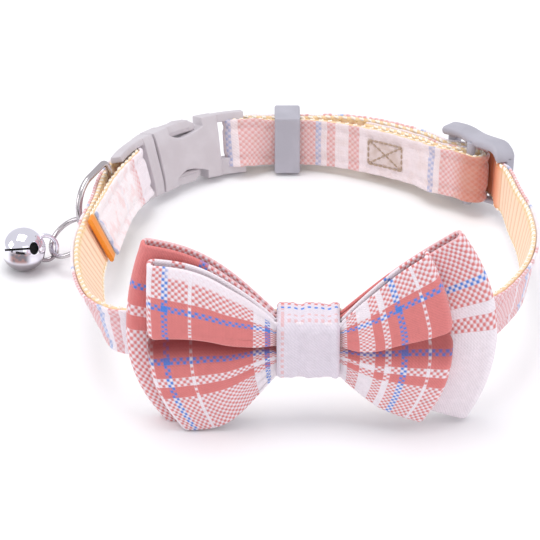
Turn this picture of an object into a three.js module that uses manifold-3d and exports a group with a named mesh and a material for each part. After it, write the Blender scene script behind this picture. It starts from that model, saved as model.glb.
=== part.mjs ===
// A small pet collar: ribbed webbing under a plaid cotton cover, closed by a curved side-release
// buckle, with a keeper loop, a three-bar slider, a D-ring with a jingle bell, and a two-layer bow.
// It lies on a surface: the loop is level from left to right and raised in front by the bow.
// Millimetres. In the collar's own frame +X is right, +Y is the buckle side, +Z is up.
import * as THREE from 'three';
import { mergeVertices } from 'three/addons/utils/BufferGeometryUtils.js';
import Module from 'manifold-3d';

const wasm = await Module();
wasm.setup();

// ---------------------------------------------------------------- driving dimensions

const DEG = Math.PI / 180;
const UP = new THREE.Vector3(0, 0, 1);
const play = 0.3;

const strap = { width: 9.8, webbing: 1.0, cover: 1.0, seam: 0.1 };
const layer = strap.webbing + strap.cover + strap.seam;
const layerPitch = layer + play;

// The bars that the strap turns round, and the path radius of the turn at the seam line.
const bar = { radius: 0.95 };
const turnRadius = bar.radius + play + strap.webbing + strap.seam / 2;

// Curved pieces follow an arc in plan: centre, radius and the angle where their length starts.
const buckle = {
  arc: { x: -5.6, y: 16.9, radius: 31, from: 166.5 },
  length: 34.6,
  prongBar: 5.6,
  socketBar: 33.3,
  mouth: 12.6,
  baseLength: 3.0,
  bodyLength: 16.0,
  lean: 15,
  halfWidth: 6.3,
  armWall: 1.1,
};
const slider = {
  arc: { x: 1.0, y: 1.6, radius: 44.6, from: 41.0 },
  halfLength: 8.5,
  halfWidth: 7.1,
  rise: 0.5,
  inner: -1.6,
  rail: 2.6,
  outer: 3.15,
  endBar: 1.3,
  barInset: 0.8,
  lean: 3,
};
const keeper = { x: -3.4, y: 48.0, turn: 1, length: 5.2, wall: 0.95 };

const dRing = { wire: 1.3, halfWidth: 6.95, reach: 12.6, corner: 1.3 };
const jumpRing = { wire: 1.0, radius: 4.6 };
const bell = { radius: 4.1, wall: 0.5, loopRadius: 2.4, loopWire: 0.9, slot: 0.6, eye: 0.85 };

const cloth = { wall: 1.0, slit: 0.25, play: 0.25 };
const knot = { width: 11.3, wall: 1.0, halfHeight: 5.6, rise: 0.2 };
const bowSeat = { y: -43.3, z: 1.2, lean: 6 };

const rest = { tilt: 5.49 };

// Each wing is a fan from the knot: distances from the knot's centre and angles of its corners.
// The loops open out past the knot: how far the rear layer moves outward, and the front one past it.
const bows = {
  bow_back: {
    level: 0, halfPinch: 4.9, lift: 1.8, opening: 9, rearOpen: 0, frontOpen: 1.2, puff: 0,
    left: { top: 34.0, topAngle: 33.5, middle: 31.8, bottom: 30.6, bottomAngle: 36, bulge: 2.8 },
    right: { top: 34.8, topAngle: 37, middle: 34.6, bottom: 34.4, bottomAngle: 30, bulge: 1.0 },
  },
  bow_front: {
    level: 1, halfPinch: 4.9, lift: 1.4, opening: 9, rearOpen: 1.3, frontOpen: 1.3, puff: 1.6,
    left: { top: 30.6, topAngle: 34, middle: 29.6, bottom: 27.4, bottomAngle: 38.5, bulge: 2.0 },
    right: { top: 28.0, topAngle: 43, middle: 27.0, bottom: 26.4, bottomAngle: 35, bulge: 0.8 },
  },
};

// ---------------------------------------------------------------- strap route tables

// Left, front and right of the loop, from the buckle's prong to the slider, seam line at half width.
const mainRun = [
  { x: -38.5, y: 21.6, z: -0.6, lean: 16 },
  { x: -39.0, y: 16.2, z: -0.5, lean: 18 },
  { x: -39.3, y: 9.0, z: -0.3, lean: 21 },
  { x: -40.2, y: 0.0, z: 0.0, lean: 26 },
  { x: -40.5, y: -3.6, z: 0.0, lean: 27.5 },
  { x: -40.9, y: -9.5, z: 0.0, lean: 30 },
  { x: -40.5, y: -18.5, z: 0.0, lean: 32 },
  { x: -39.3, y: -27.5, z: 0.1, lean: 30 },
  { x: -37.5, y: -35.3, z: 0.3, lean: 22 },
  { x: -34.2, y: -40.7, z: 0.6, lean: 13 },
  { x: -27.0, y: -42.8, z: 0.9, lean: 8 },
  { x: -16.0, y: -43.3, z: 1.1, lean: 6 },
  { x: -6.5, y: -43.3, z: 1.2, lean: 6 },
  { x: 6.5, y: -43.3, z: 1.2, lean: 6 },
  { x: 17.0, y: -42.9, z: 1.1, lean: 6 },
  { x: 27.5, y: -40.6, z: 0.9, lean: 8 },
  { x: 34.4, y: -34.8, z: 0.6, lean: 11 },
  { x: 38.4, y: -27.3, z: 0.2, lean: 12 },
  { x: 41.6, y: -18.5, z: 0.0, lean: 12 },
  { x: 43.2, y: -8.0, z: 0.0, lean: 13 },
  { x: 43.0, y: 3.0, z: 0.0, lean: 11 },
  { x: 41.6, y: 12.5, z: 0.0, lean: 7 },
];

// The stack of straps at the back, from the slider to the keeper: the middle of the stack, and
// where the outer run, the folded-back end and the inner run lie outward of it.
const backStack = [
  { x: 24.6, y: 38.1, outer: layerPitch + 0.1, folded: 0, inner: -layerPitch - 0.1 },
  { x: 18.8, y: 42.3, outer: layerPitch + 0.1, folded: 0, inner: -layerPitch - 0.1 },
  { x: 12.6, y: 45.6, outer: layerPitch + 0.1, folded: 0, inner: -layerPitch - 0.1 },
  { x: 6.0, y: 47.4, outer: 2.2, folded: null, inner: -1.7 },
  { x: 0.4, y: 48.0, outer: 1.25, folded: null, inner: -1.25 },
  { x: -7.0, y: 47.9, outer: 1.3, folded: null, inner: -1.3 },
];

// Past the slider's bars: s along it from the middle bar, and n outward of its arc.
const sliderRun = [
  { s: 9.2, n: 0.2 },
  { s: 7.0, n: 0.4 },
  { s: 4.6, n: 2.05 },
  { s: 2.35, n: 3.27 },
  { s: 0.0, n: 3.9 },
  { s: -2.35, n: 3.27 },
  { s: -4.6, n: 1.97 },
  { s: -7.0, n: 0.55 },
  { s: -9.2, n: 0.2 },
];
const sliderReturn = [
  { s: -9.2, n: -4.7 },
  { s: -7.0, n: -4.5 },
  { s: -3.5, n: -3.5 },
];
const sliderFolded = [
  { s: -4.6, n: -0.9 },
  { s: -7.0, n: -2.1 },
  { s: -9.2, n: -2.25 },
];

// The folded-over end at the left, inward of the first rows of the outer run: apart for the
// D-ring's side, then flat on the strap.
const foldOver = [4.2, 3.4, layerPitch + 0.2, layerPitch + 0.1, layerPitch + 0.1];

// ---------------------------------------------------------------- solids and meshes

function solidFrom(geometry) {
  const bare = geometry.clone();
  bare.deleteAttribute('normal');
  bare.deleteAttribute('uv');
  const merged = mergeVertices(bare, 1e-5);
  const vertProperties = new Float32Array(merged.attributes.position.array);
  const triVerts = new Uint32Array(merged.index.array);
  return new wasm.Manifold(new wasm.Mesh({ numProp: 3, vertProperties, triVerts }));
}

function geometryFrom(solid) {
  const mesh = solid.getMesh();
  const geometry = new THREE.BufferGeometry();
  geometry.setAttribute('position', new THREE.BufferAttribute(mesh.vertProperties, 3));
  geometry.setIndex(new THREE.BufferAttribute(mesh.triVerts, 1));
  geometry.computeVertexNormals();
  return geometry;
}

function signedVolume(points, triangles) {
  let six = 0;
  for (const [a, b, c] of triangles) {
    six += points[a].dot(points[b].clone().cross(points[c]));
  }
  return six / 6;
}

// Joins a row of section loops into one closed body; a closed row makes a ring.
function skin(sections, closed) {
  const count = sections[0].length;
  const points = sections.flat();
  const triangles = [];
  const rows = closed ? sections.length : sections.length - 1;
  for (let i = 0; i < rows; i += 1) {
    const here = i * count;
    const next = ((i + 1) % sections.length) * count;
    for (let j = 0; j < count; j += 1) {
      const k = (j + 1) % count;
      triangles.push([here + j, here + k, next + k], [here + j, next + k, next + j]);
    }
  }
  if (!closed) {
    const last = (sections.length - 1) * count;
    for (let j = 1; j < count - 1; j += 1) {
      triangles.push([0, j + 1, j], [last, last + j, last + j + 1]);
    }
  }
  const inward = signedVolume(points, triangles) < 0;
  const index = triangles.flatMap(([a, b, c]) => (inward ? [a, c, b] : [a, b, c]));
  const geometry = new THREE.BufferGeometry().setFromPoints(points);
  geometry.setIndex(index);
  geometry.computeVertexNormals();
  return geometry;
}

function mesh(name, geometry, finish) {
  const material = new THREE.MeshStandardMaterial(finish);
  const made = new THREE.Mesh(geometry, material);
  made.name = name;
  return made;
}

// ---------------------------------------------------------------- frames of the hard pieces

// The directions at one place of a curved piece that leans outward at the top: along its arc,
// outward across its thickness, and up its width.
function seatOn(piece, s) {
  const { arc, lean, rise = 0 } = piece;
  const angle = arc.from * DEG - s / arc.radius;
  const level = new THREE.Vector3(Math.cos(angle), Math.sin(angle), 0);
  const turn = lean * DEG;
  return {
    origin: new THREE.Vector3(arc.x, arc.y, rise).addScaledVector(level, arc.radius),
    along: new THREE.Vector3(Math.sin(angle), -Math.cos(angle), 0),
    out: level.clone().multiplyScalar(Math.cos(turn)).addScaledVector(UP, -Math.sin(turn)),
    width: level.clone().multiplyScalar(Math.sin(turn)).addScaledVector(UP, Math.cos(turn)),
  };
}

// A point of a curved piece: s along its arc, n outward from the arc, w up its width.
function onPiece(piece, s, n, w) {
  const seat = seatOn(piece, s);
  return seat.origin.addScaledVector(seat.out, n).addScaledVector(seat.width, w);
}

// An outline of [n, w] points swept along a piece's arc between two values of s.
function arcSweep(piece, s, outline) {
  const steps = Math.max(1, Math.round((s[1] - s[0]) / 2.5));
  const sections = Array.from({ length: steps + 1 }, (_, i) => {
    const at = s[0] + ((s[1] - s[0]) * i) / steps;
    return outline.map(([n, w]) => onPiece(piece, at, n, w));
  });
  return solidFrom(skin(sections, false));
}

// A block bent along an arc, from [low, high] spans of s, n and w.
function arcBlock(piece, s, n, w) {
  return arcSweep(piece, s, [[n[0], w[0]], [n[1], w[0]], [n[1], w[1]], [n[0], w[1]]]);
}

// A block bent along an arc that is thick in the middle of its width and thin at its edges.
function arcLens(piece, s, middle, edge, halfWidth) {
  const waist = halfWidth - 2.0;
  const outline = [
    [-edge, -halfWidth], [edge, -halfWidth], [middle, -waist], [middle, waist],
    [edge, halfWidth], [-edge, halfWidth], [-middle, waist], [-middle, -waist],
  ];
  return arcSweep(piece, s, outline);
}

// A round bar across the strap at one place of a piece.
function arcBar(piece, s, halfWidth, inset = 0) {
  const geometry = new THREE.CylinderGeometry(bar.radius, bar.radius, 2 * halfWidth, 12);
  const seat = seatOn(piece, s);
  geometry.applyMatrix4(new THREE.Matrix4().makeBasis(seat.out, seat.width, seat.along));
  const centre = seat.origin.addScaledVector(seat.out, -inset);
  geometry.translate(centre.x, centre.y, centre.z);
  return solidFrom(geometry);
}

const sides = [-1, 1];

// The span from low to high, on the lower or the upper side.
function spanOn(side, low, high) {
  return side < 0 ? [-high, -low] : [low, high];
}

function joined(solids) {
  return solids.reduce((whole, next) => whole.add(next));
}

// ---------------------------------------------------------------- strap route

function half(seat, from, to, radius, steps) {
  const stations = [];
  for (let i = 0; i <= steps; i += 1) {
    const angle = (from + ((to - from) * i) / steps) * DEG;
    const p = seat.origin.clone();
    p.addScaledVector(seat.along, radius * Math.cos(angle));
    p.addScaledVector(seat.out, radius * Math.sin(angle));
    stations.push({ p, w: seat.width.clone() });
  }
  return stations;
}

// Plan rows become stations whose width direction leans outward of the loop at the top.
function leaning(rows) {
  return rows.map((row, i) => {
    const before = rows[Math.max(0, i - 1)];
    const after = rows[Math.min(rows.length - 1, i + 1)];
    const out = new THREE.Vector3(after.y - before.y, before.x - after.x, 0).normalize();
    const w = UP.clone().multiplyScalar(Math.cos(row.lean * DEG));
    w.addScaledVector(out, Math.sin(row.lean * DEG));
    return { p: new THREE.Vector3(row.x, row.y, row.z), w };
  });
}

// A row of the back stack moved outward by one of its offsets.
function stackRow(row, i, offset) {
  const before = backStack[Math.max(0, i - 1)];
  const after = backStack[Math.min(backStack.length - 1, i + 1)];
  const out = new THREE.Vector3(after.y - before.y, before.x - after.x, 0).normalize();
  const p = new THREE.Vector3(row.x, row.y, 0).addScaledVector(out, offset);
  return { p, w: UP.clone() };
}

// Rows of a slider table become stations, centred on the strap's height rather than the slider's.
function throughSlider(rows) {
  return rows.map(({ s, n }) => ({ p: onPiece(slider, s, n, -slider.rise), w: seatOn(slider, s).width }));
}

// The folded-over end runs inward of the main run, back up to the buckle's prong.
function foldOverRun(main) {
  const stations = main.slice(0, foldOver.length).map((station, i) => {
    const ahead = main[i + 1].p.clone().sub(station.p).normalize();
    const out = ahead.cross(station.w).normalize();
    const p = station.p.clone().addScaledVector(out, -foldOver[i]);
    return { p, w: station.w.clone() };
  });
  return stations.reverse();
}

function onBuckle(s, n) {
  return { p: onPiece(buckle, s, n, 0), w: seatOn(buckle, s).width };
}

function strapRoute() {
  const prong = seatOn(buckle, buckle.prongBar);
  const socket = seatOn(buckle, buckle.socketBar);
  const middle = seatOn({ ...slider, rise: 0 }, 0);
  middle.origin.addScaledVector(middle.out, -slider.barInset);
  const main = leaning(mainRun);
  const stack = (key) => backStack.map((row, i) => [row, i]).filter(([row]) => row[key] !== null)
    .map(([row, i]) => stackRow(row, i, row[key]));
  return [
    ...foldOverRun(main),
    onBuckle(0.8, -turnRadius),
    ...half(prong, -90, 90, turnRadius, 8),
    onBuckle(0.8, turnRadius),
    ...main,
    ...throughSlider(sliderRun),
    ...stack('outer'),
    onBuckle(buckle.length + 0.8, turnRadius),
    ...half(socket, 90, 270, turnRadius, 8),
    onBuckle(buckle.length + 0.8, -turnRadius),
    ...stack('inner').reverse(),
    ...throughSlider(sliderReturn),
    ...half(middle, -90, 120, turnRadius, 9),
    ...throughSlider(sliderFolded),
    ...stack('folded'),
  ];
}

// Smooth stations with tangent, width and outward directions along the whole route.
function frames(route, steps) {
  const path = new THREE.CatmullRomCurve3(route.map((station) => station.p), false, 'centripetal');
  const widths = new THREE.CatmullRomCurve3(route.map((station) => station.w), false, 'centripetal');
  const total = (route.length - 1) * steps;
  const list = [];
  for (let i = 0; i <= total; i += 1) {
    const t = i / total;
    const tangent = path.getTangent(t);
    const lean = widths.getPoint(t);
    const out = tangent.clone().cross(lean).normalize();
    const width = out.clone().cross(tangent).normalize();
    list.push({ p: path.getPoint(t), out, width });
  }
  return list;
}

// A wall between the seam line's side and a far side, both measured outward of the route.
function ribbon(stations, far, near) {
  const side = strap.width / 2;
  const corners = [[far, -side], [near, -side], [near, side], [far, side]];
  const sections = stations.map((station) => corners.map(([n, w]) => (
    station.p.clone().addScaledVector(station.out, n).addScaledVector(station.width, w)
  )));
  return skin(sections, false);
}

// ---------------------------------------------------------------- buckle, keeper and slider

// Socket: a flat hollow box open at its mouth, narrower behind its side windows, where the
// prongs' heads show, and a frame behind it with the bar for the strap.
function buckleSocket() {
  const { mouth, bodyLength, halfWidth, length, armWall } = buckle;
  const bodyEnd = mouth + bodyLength;
  const waist = halfWidth - 0.9;
  const front = arcLens(buckle, [mouth, mouth + 4], 2.8, 1.5, halfWidth);
  const body = arcLens(buckle, [mouth + 3, bodyEnd], 2.8, 1.9, waist);
  const hollow = arcBlock(buckle, [mouth - 1, bodyEnd - 1.6], [-1.75, 1.75], [-4.9, 4.9]);
  const windows = sides.map((side) => (
    arcBlock(buckle, [mouth + 3.6, mouth + 10.6], [-1.75, 1.75], spanOn(side, 4, 8))
  ));
  const arms = sides.map((side) => {
    const span = spanOn(side, halfWidth - armWall, halfWidth);
    return arcBlock(buckle, [bodyEnd - 3.4, length], [-1.6, 1.6], span);
  });
  const crossBar = arcBar(buckle, buckle.socketBar, halfWidth - 0.4);
  const shell = joined([front, body]).subtract(joined([hollow, ...windows]));
  return joined([shell, ...arms, crossBar]);
}

// Prong: a frame with the bar for the strap, a thick base, a middle guide and two side prongs
// whose heads bulge out through the socket's windows.
function buckleProng() {
  const { mouth, baseLength, halfWidth, armWall } = buckle;
  const base = arcLens(buckle, [mouth - baseLength, mouth - play], 2.3, 1.5, halfWidth);
  const arms = sides.map((side) => {
    const span = spanOn(side, halfWidth - armWall, halfWidth);
    return arcBlock(buckle, [0, mouth - 2], [-1.5, 1.5], span);
  });
  const crossBar = arcBar(buckle, buckle.prongBar, halfWidth - 0.4);
  const guide = arcBlock(buckle, [mouth - 0.5, mouth + 11.4], [-1.2, 1.2], [-1.0, 1.0]);
  const prongs = sides.map((side) => {
    const shaft = arcBlock(buckle, [mouth - 0.5, mouth + 5], [-1.2, 1.2], spanOn(side, 3.0, 4.4));
    const head = [mouth + 4.2, mouth + 10.0];
    return shaft.add(arcBlock(buckle, head, [-1.3, 1.3], spanOn(side, 3.0, 6.6)));
  });
  return joined([base, ...arms, crossBar, guide, ...prongs]);
}

// Slider: two rails bent with the loop, a middle bar, and an end bar outside the straps at each end.
function sliderFrame() {
  const { halfLength, halfWidth, inner, rail, outer, endBar, rise } = slider;
  const gap = strap.width / 2 + play + rise;
  const rails = sides.map((side) => (
    arcBlock(slider, [-halfLength, halfLength], [inner, rail], spanOn(side, gap, halfWidth))
  ));
  const ends = sides.map((side) => {
    const span = spanOn(side, halfLength - endBar, halfLength);
    return arcBlock(slider, span, [outer - endBar, outer], [-halfWidth, halfWidth]);
  });
  return joined([...rails, ...ends, arcBar(slider, 0, halfWidth - 0.6, slider.barInset)]);
}

function roundedRectangle(target, halfX, halfY, radius) {
  target.moveTo(-halfX + radius, -halfY);
  target.lineTo(halfX - radius, -halfY);
  target.absarc(halfX - radius, -halfY + radius, radius, -Math.PI / 2, 0);
  target.lineTo(halfX, halfY - radius);
  target.absarc(halfX - radius, halfY - radius, radius, 0, Math.PI / 2);
  target.lineTo(-halfX + radius, halfY);
  target.absarc(-halfX + radius, halfY - radius, radius, Math.PI / 2, Math.PI);
  target.lineTo(-halfX, -halfY + radius);
  target.absarc(-halfX + radius, -halfY + radius, radius, Math.PI, 1.5 * Math.PI);
  return target;
}

// Keeper: a flat ring round both straps.
function keeperLoop() {
  const halfDepth = layer + 2 * play;
  const halfHeight = strap.width / 2 + play;
  const outline = new THREE.Shape();
  roundedRectangle(outline, halfDepth + keeper.wall, halfHeight + keeper.wall, 0.8);
  const hole = roundedRectangle(new THREE.Path(), halfDepth, halfHeight, 0.3);
  outline.holes.push(hole);
  const options = { depth: keeper.length, bevelEnabled: false, curveSegments: 4 };
  const geometry = new THREE.ExtrudeGeometry(outline, options);
  geometry.translate(0, 0, -keeper.length / 2);
  // The outline's X becomes the collar's depth, its Y the height and its length runs along X.
  const basis = new THREE.Matrix4().makeBasis(
    new THREE.Vector3(0, 1, 0), new THREE.Vector3(0, 0, 1), new THREE.Vector3(1, 0, 0),
  );
  geometry.applyMatrix4(basis);
  return geometryFrom(solidFrom(geometry));
}

// ---------------------------------------------------------------- ring and bell

class RoundedD extends THREE.Curve {
  // A straight side on the width axis and a half round, joined by short arms.
  getPoint(t, target = new THREE.Vector3()) {
    const { halfWidth, reach, corner } = dRing;
    const arm = reach - halfWidth;
    const pieces = [
      { length: 2 * (halfWidth - corner), at: (u) => [0, -halfWidth + corner + u] },
      { length: (Math.PI / 2) * corner, at: (u) => this.round(u / corner, halfWidth - corner) },
      { length: arm - corner, at: (u) => [corner + u, halfWidth] },
      { length: Math.PI * halfWidth, at: (u) => this.bow(u / halfWidth, arm) },
      { length: arm - corner, at: (u) => [arm - u, -halfWidth] },
      { length: (Math.PI / 2) * corner, at: (u) => this.heel(u / corner, halfWidth - corner) },
    ];
    const total = pieces.reduce((sum, piece) => sum + piece.length, 0);
    let left = (t - Math.floor(t)) * total;
    for (const piece of pieces) {
      if (left <= piece.length) {
        const [q, w] = piece.at(left);
        return target.set(q, w, 0);
      }
      left -= piece.length;
    }
    return target.set(0, -halfWidth + corner, 0);
  }

  round(angle, centre) {
    return [dRing.corner * (1 - Math.cos(angle)), centre + dRing.corner * Math.sin(angle)];
  }

  bow(angle, arm) {
    return [arm + dRing.halfWidth * Math.sin(angle), dRing.halfWidth * Math.cos(angle)];
  }

  heel(angle, centre) {
    return [dRing.corner * (1 - Math.sin(angle)), -centre - dRing.corner * Math.cos(angle)];
  }
}

function ringOfWire(curve, wire, steps, sides) {
  const sections = [];
  const plane = new THREE.Vector3(0, 0, 1);
  for (let i = 0; i < steps; i += 1) {
    const t = i / steps;
    const centre = curve.getPoint(t);
    const ahead = curve.getPoint(t + 0.25 / steps).sub(curve.getPoint(t - 0.25 / steps)).normalize();
    const side = ahead.clone().cross(plane).normalize();
    sections.push(Array.from({ length: sides }, (_, j) => {
      const angle = (2 * Math.PI * j) / sides;
      return centre.clone()
        .addScaledVector(side, (wire / 2) * Math.cos(angle))
        .addScaledVector(plane, (wire / 2) * Math.sin(angle));
    }));
  }
  return skin(sections, true);
}

// Bell: a thin round shell on its side with a slot across its bottom, round eyes at the slot's
// ends and a wire loop on top. Its axis is local X, with the loop at +X.
function bellShell() {
  const shell = solidFrom(new THREE.SphereGeometry(bell.radius, 28, 18));
  const inside = solidFrom(new THREE.SphereGeometry(bell.radius - bell.wall, 28, 18));
  const slotBox = new THREE.BoxGeometry(bell.radius + 1.5, 3 * bell.radius, bell.slot);
  slotBox.translate(-(bell.radius + 1.5) / 2 + 0.6, 0, 0);
  const eyes = new THREE.CylinderGeometry(bell.eye, bell.eye, 3 * bell.radius, 14);
  eyes.translate(1.6, 0, 0);
  const slotEnd = new THREE.BoxGeometry(1.6, 3 * bell.radius, bell.slot);
  slotEnd.translate(0.9, 0, 0);
  const loop = new THREE.TorusGeometry(bell.loopRadius, bell.loopWire / 2, 8, 20);
  loop.rotateX(Math.PI / 2);
  loop.translate(bell.radius, 0, 0);
  const cut = solidFrom(slotBox).add(solidFrom(slotEnd)).add(solidFrom(eyes));
  const keepOut = solidFrom(new THREE.SphereGeometry(bell.radius - 0.2, 28, 18));
  return shell.subtract(inside).subtract(cut).add(solidFrom(loop).subtract(keepOut));
}

// ---------------------------------------------------------------- bow

// Middle planes of the four cloth layers in front of the strap, outward of the seam line: beside
// the knot, and out in the wings where the loops stand open.
const layerStep = cloth.wall + cloth.slit;
const firstLayer = strap.cover + strap.seam / 2 + cloth.play + cloth.wall / 2;
const knotInside = {
  back: -(strap.webbing + strap.seam / 2) - cloth.play - 0.1,
  front: firstLayer + 3 * layerStep + cloth.wall / 2 + cloth.play,
};

// The outer fold of a wing: a corner-to-corner curve at a fan angle q from -1 (bottom) to 1 (top).
function wingEdge(wing, q) {
  const corner = q > 0 ? wing.top : wing.bottom;
  const angle = (q > 0 ? wing.topAngle : wing.bottomAngle) * q * DEG;
  const reach = wing.middle + (corner - wing.middle) * q * q;
  return { x: reach * Math.cos(angle), z: reach * Math.sin(angle) };
}

function smooth(t) {
  const c = Math.min(1, Math.max(0, t));
  return c * c * (3 - 2 * c);
}

// One turn round a wing: out along the front layer, round the end fold, back along the rear layer.
// "layer" runs from 1 on the front layer to 0 on the rear one.
function wingTurn() {
  const along = 9;
  const fold = 6;
  const foldStart = 0.95;
  const out = Array.from({ length: along + 1 }, (_, i) => ({ r: (foldStart * i) / along, layer: 1 }));
  const round = Array.from({ length: fold - 1 }, (_, k) => {
    const turn = (Math.PI * (k + 1)) / fold;
    return { r: foldStart + (1 - foldStart) * Math.sin(turn), layer: 0.5 + 0.5 * Math.cos(turn) };
  });
  const back = out.map(({ r }) => ({ r, layer: 0 })).reverse();
  return [...out, ...round, ...back];
}

// Two soft lobes in the front layer with a crease between them, fading at the knot and the end.
function lobes(r, q) {
  const crease = 0.9 * Math.exp(-(((q + 0.05) / 0.17) ** 2));
  return Math.sin(Math.PI * Math.min(1, r)) * (1 - q * q - crease);
}

function bowPoint(bow, side, turn, q) {
  const wing = side < 0 ? bow.left : bow.right;
  const start = { x: knot.width / 2 + play, z: bow.halfPinch * q };
  const end = wingEdge(wing, q);
  const x = start.x + (end.x - start.x) * turn.r;
  const swell = wing.bulge * Math.sin(Math.PI * turn.r) * q * Math.abs(q);
  const z = start.z + (end.z - start.z) * turn.r + swell + bow.lift * turn.r;
  const open = smooth((x - knot.width / 2) / bow.opening);
  const rear = firstLayer + 2 * bow.level * layerStep + bow.rearOpen * open;
  const gap = layerStep + bow.frontOpen * open;
  const n = rear + turn.layer * (gap + bow.puff * lobes(turn.r, q));
  return new THREE.Vector3(side * x, -n, z + knot.rise);
}

// A bow is one closed band of cloth, flattened and pinched in the middle, open at top and bottom.
function bowBand(bow) {
  const across = 10;
  const turns = wingTurn();
  const stops = [
    ...turns.map((turn) => ({ side: 1, turn })),
    ...turns.map((turn) => ({ side: -1, turn })).reverse(),
  ];
  const middle = stops.map(({ side, turn }) => (
    Array.from({ length: across + 1 }, (_, j) => bowPoint(bow, side, turn, (2 * j) / across - 1))
  ));
  return skin(thicken(middle, cloth.wall), true);
}

// Gives a closed row of curves a wall: each curve becomes a loop up its outside and down its inside.
function thicken(rows, wall) {
  const last = rows.length;
  return rows.map((row, i) => {
    const before = rows[(i + last - 1) % last];
    const after = rows[(i + 1) % last];
    const offsets = row.map((point, j) => {
      const along = after[j].clone().sub(before[j]);
      const up = row[Math.min(row.length - 1, j + 1)].clone().sub(row[Math.max(0, j - 1)]);
      return along.cross(up).normalize().multiplyScalar(wall / 2);
    });
    const outside = row.map((point, j) => point.clone().add(offsets[j]));
    const inside = row.map((point, j) => point.clone().sub(offsets[j]));
    return [...outside, ...inside.reverse()];
  });
}

// Knot: a band round both bows and the strap.
function knotBand() {
  const depth = (knotInside.front - knotInside.back) / 2;
  const radius = 0.8;
  const outline = new THREE.Shape();
  roundedRectangle(outline, depth + knot.wall, knot.halfHeight + knot.wall, radius + knot.wall);
  outline.holes.push(roundedRectangle(new THREE.Path(), depth, knot.halfHeight, radius));
  const options = { depth: knot.width, bevelEnabled: false, curveSegments: 5 };
  const geometry = new THREE.ExtrudeGeometry(outline, options);
  geometry.translate(0, 0, -knot.width / 2);
  const basis = new THREE.Matrix4().makeBasis(
    new THREE.Vector3(0, 1, 0), new THREE.Vector3(0, 0, 1), new THREE.Vector3(1, 0, 0),
  );
  geometry.applyMatrix4(basis);
  geometry.translate(0, -(knotInside.front + knotInside.back) / 2, knot.rise);
  return geometryFrom(solidFrom(geometry));
}

// ---------------------------------------------------------------- assembly

const finishes = {
  webbing: { color: 0xf6dcc6, roughness: 0.8, metalness: 0 },
  cover: { color: 0xe2a9a6, roughness: 0.9, metalness: 0 },
  plastic: { color: 0xccc3c8, roughness: 0.5, metalness: 0 },
  steel: { color: 0xd6d2d4, roughness: 0.25, metalness: 1 },
  bow: { color: 0xd78887, roughness: 0.9, metalness: 0 },
  knot: { color: 0xf0e6ef, roughness: 0.9, metalness: 0 },
};

function strapMeshes() {
  const stations = frames(strapRoute(), 3);
  const gap = strap.seam / 2;
  return [
    mesh('webbing', ribbon(stations, -gap - strap.webbing, -gap), finishes.webbing),
    mesh('plaid_cover', ribbon(stations, gap + strap.cover, gap), finishes.cover),
  ];
}

function hardMeshes() {
  return [
    mesh('buckle_socket', geometryFrom(buckleSocket()), finishes.plastic),
    mesh('buckle_prong', geometryFrom(buckleProng()), finishes.plastic),
    mesh('slider', geometryFrom(sliderFrame()), finishes.plastic),
  ];
}

function keeperMesh() {
  const loop = mesh('keeper_loop', keeperLoop(), finishes.plastic);
  loop.position.set(keeper.x, keeper.y, 0);
  loop.rotation.z = keeper.turn * DEG;
  return loop;
}

// Directions of the hanging ring and bell, swung outward and forward, resting beside the strap.
const hanging = {
  dRing: { origin: [-37.0, 20.25, 0.7], reachTo: [-0.493, -0.838, -0.232], width: [-0.28, -0.08, 0.96] },
  jumpRing: { centre: [-45.41, 8.6, -4.15], normal: [-0.516, -0.302, 0.802] },
  bell: { centre: [-54.15, 7.06, -6.21], loopTo: [0.95, 0.303, -0.072], slotTo: [0.304, -0.853, 0.424] },
};

function basisOf(first, second) {
  const x = new THREE.Vector3(...first).normalize();
  const z = x.clone().cross(new THREE.Vector3(...second)).normalize();
  const y = z.clone().cross(x);
  return new THREE.Matrix4().makeBasis(x, y, z);
}

function dRingMesh() {
  const { origin, reachTo, width } = hanging.dRing;
  const ring = mesh('d_ring', ringOfWire(new RoundedD(), dRing.wire, 48, 8), finishes.steel);
  ring.applyMatrix4(basisOf(reachTo, width));
  ring.position.set(...origin);
  return ring;
}

function jumpRingMesh() {
  const { centre, normal } = hanging.jumpRing;
  const geometry = new THREE.TorusGeometry(jumpRing.radius, jumpRing.wire / 2, 8, 32);
  const ring = mesh('jump_ring', geometry, finishes.steel);
  ring.quaternion.setFromUnitVectors(UP, new THREE.Vector3(...normal).normalize());
  ring.position.set(...centre);
  return ring;
}

function bellMesh() {
  const { centre, loopTo, slotTo } = hanging.bell;
  const shell = mesh('bell', geometryFrom(bellShell()), finishes.steel);
  shell.applyMatrix4(basisOf(loopTo, slotTo));
  shell.position.set(...centre);
  return shell;
}

function bowGroup() {
  const group = new THREE.Group();
  group.position.set(0, bowSeat.y, bowSeat.z);
  group.rotation.x = bowSeat.lean * DEG;
  for (const [name, bow] of Object.entries(bows)) {
    group.add(mesh(name, bowBand(bow), finishes.bow));
  }
  group.add(mesh('bow_knot', knotBand(), finishes.knot));
  return group;
}

const collar = new THREE.Group();
collar.add(...strapMeshes(), ...hardMeshes(), keeperMesh());
collar.add(dRingMesh(), jumpRingMesh(), bellMesh(), bowGroup());
collar.rotation.x = -rest.tilt * DEG;

// The collar stands on the plane Z = 0, with the origin under the middle of its box.
const object = new THREE.Group();
object.add(collar);
object.updateMatrixWorld(true);
const box = new THREE.Box3().setFromObject(collar, true);
const middle = box.getCenter(new THREE.Vector3());
collar.position.set(-middle.x, -middle.y, -box.min.z);

export default object;
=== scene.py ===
"""Looks of a small plaid pet collar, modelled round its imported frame.

Shapes are worked out in the collar's own frame in millimetres: +X is right, +Y is the buckle side
and +Z is up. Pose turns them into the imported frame, in metres.
"""

import logging
import math
import random
from dataclasses import dataclass, field
from enum import Enum
from typing import Callable, NamedTuple, Sequence

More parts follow.
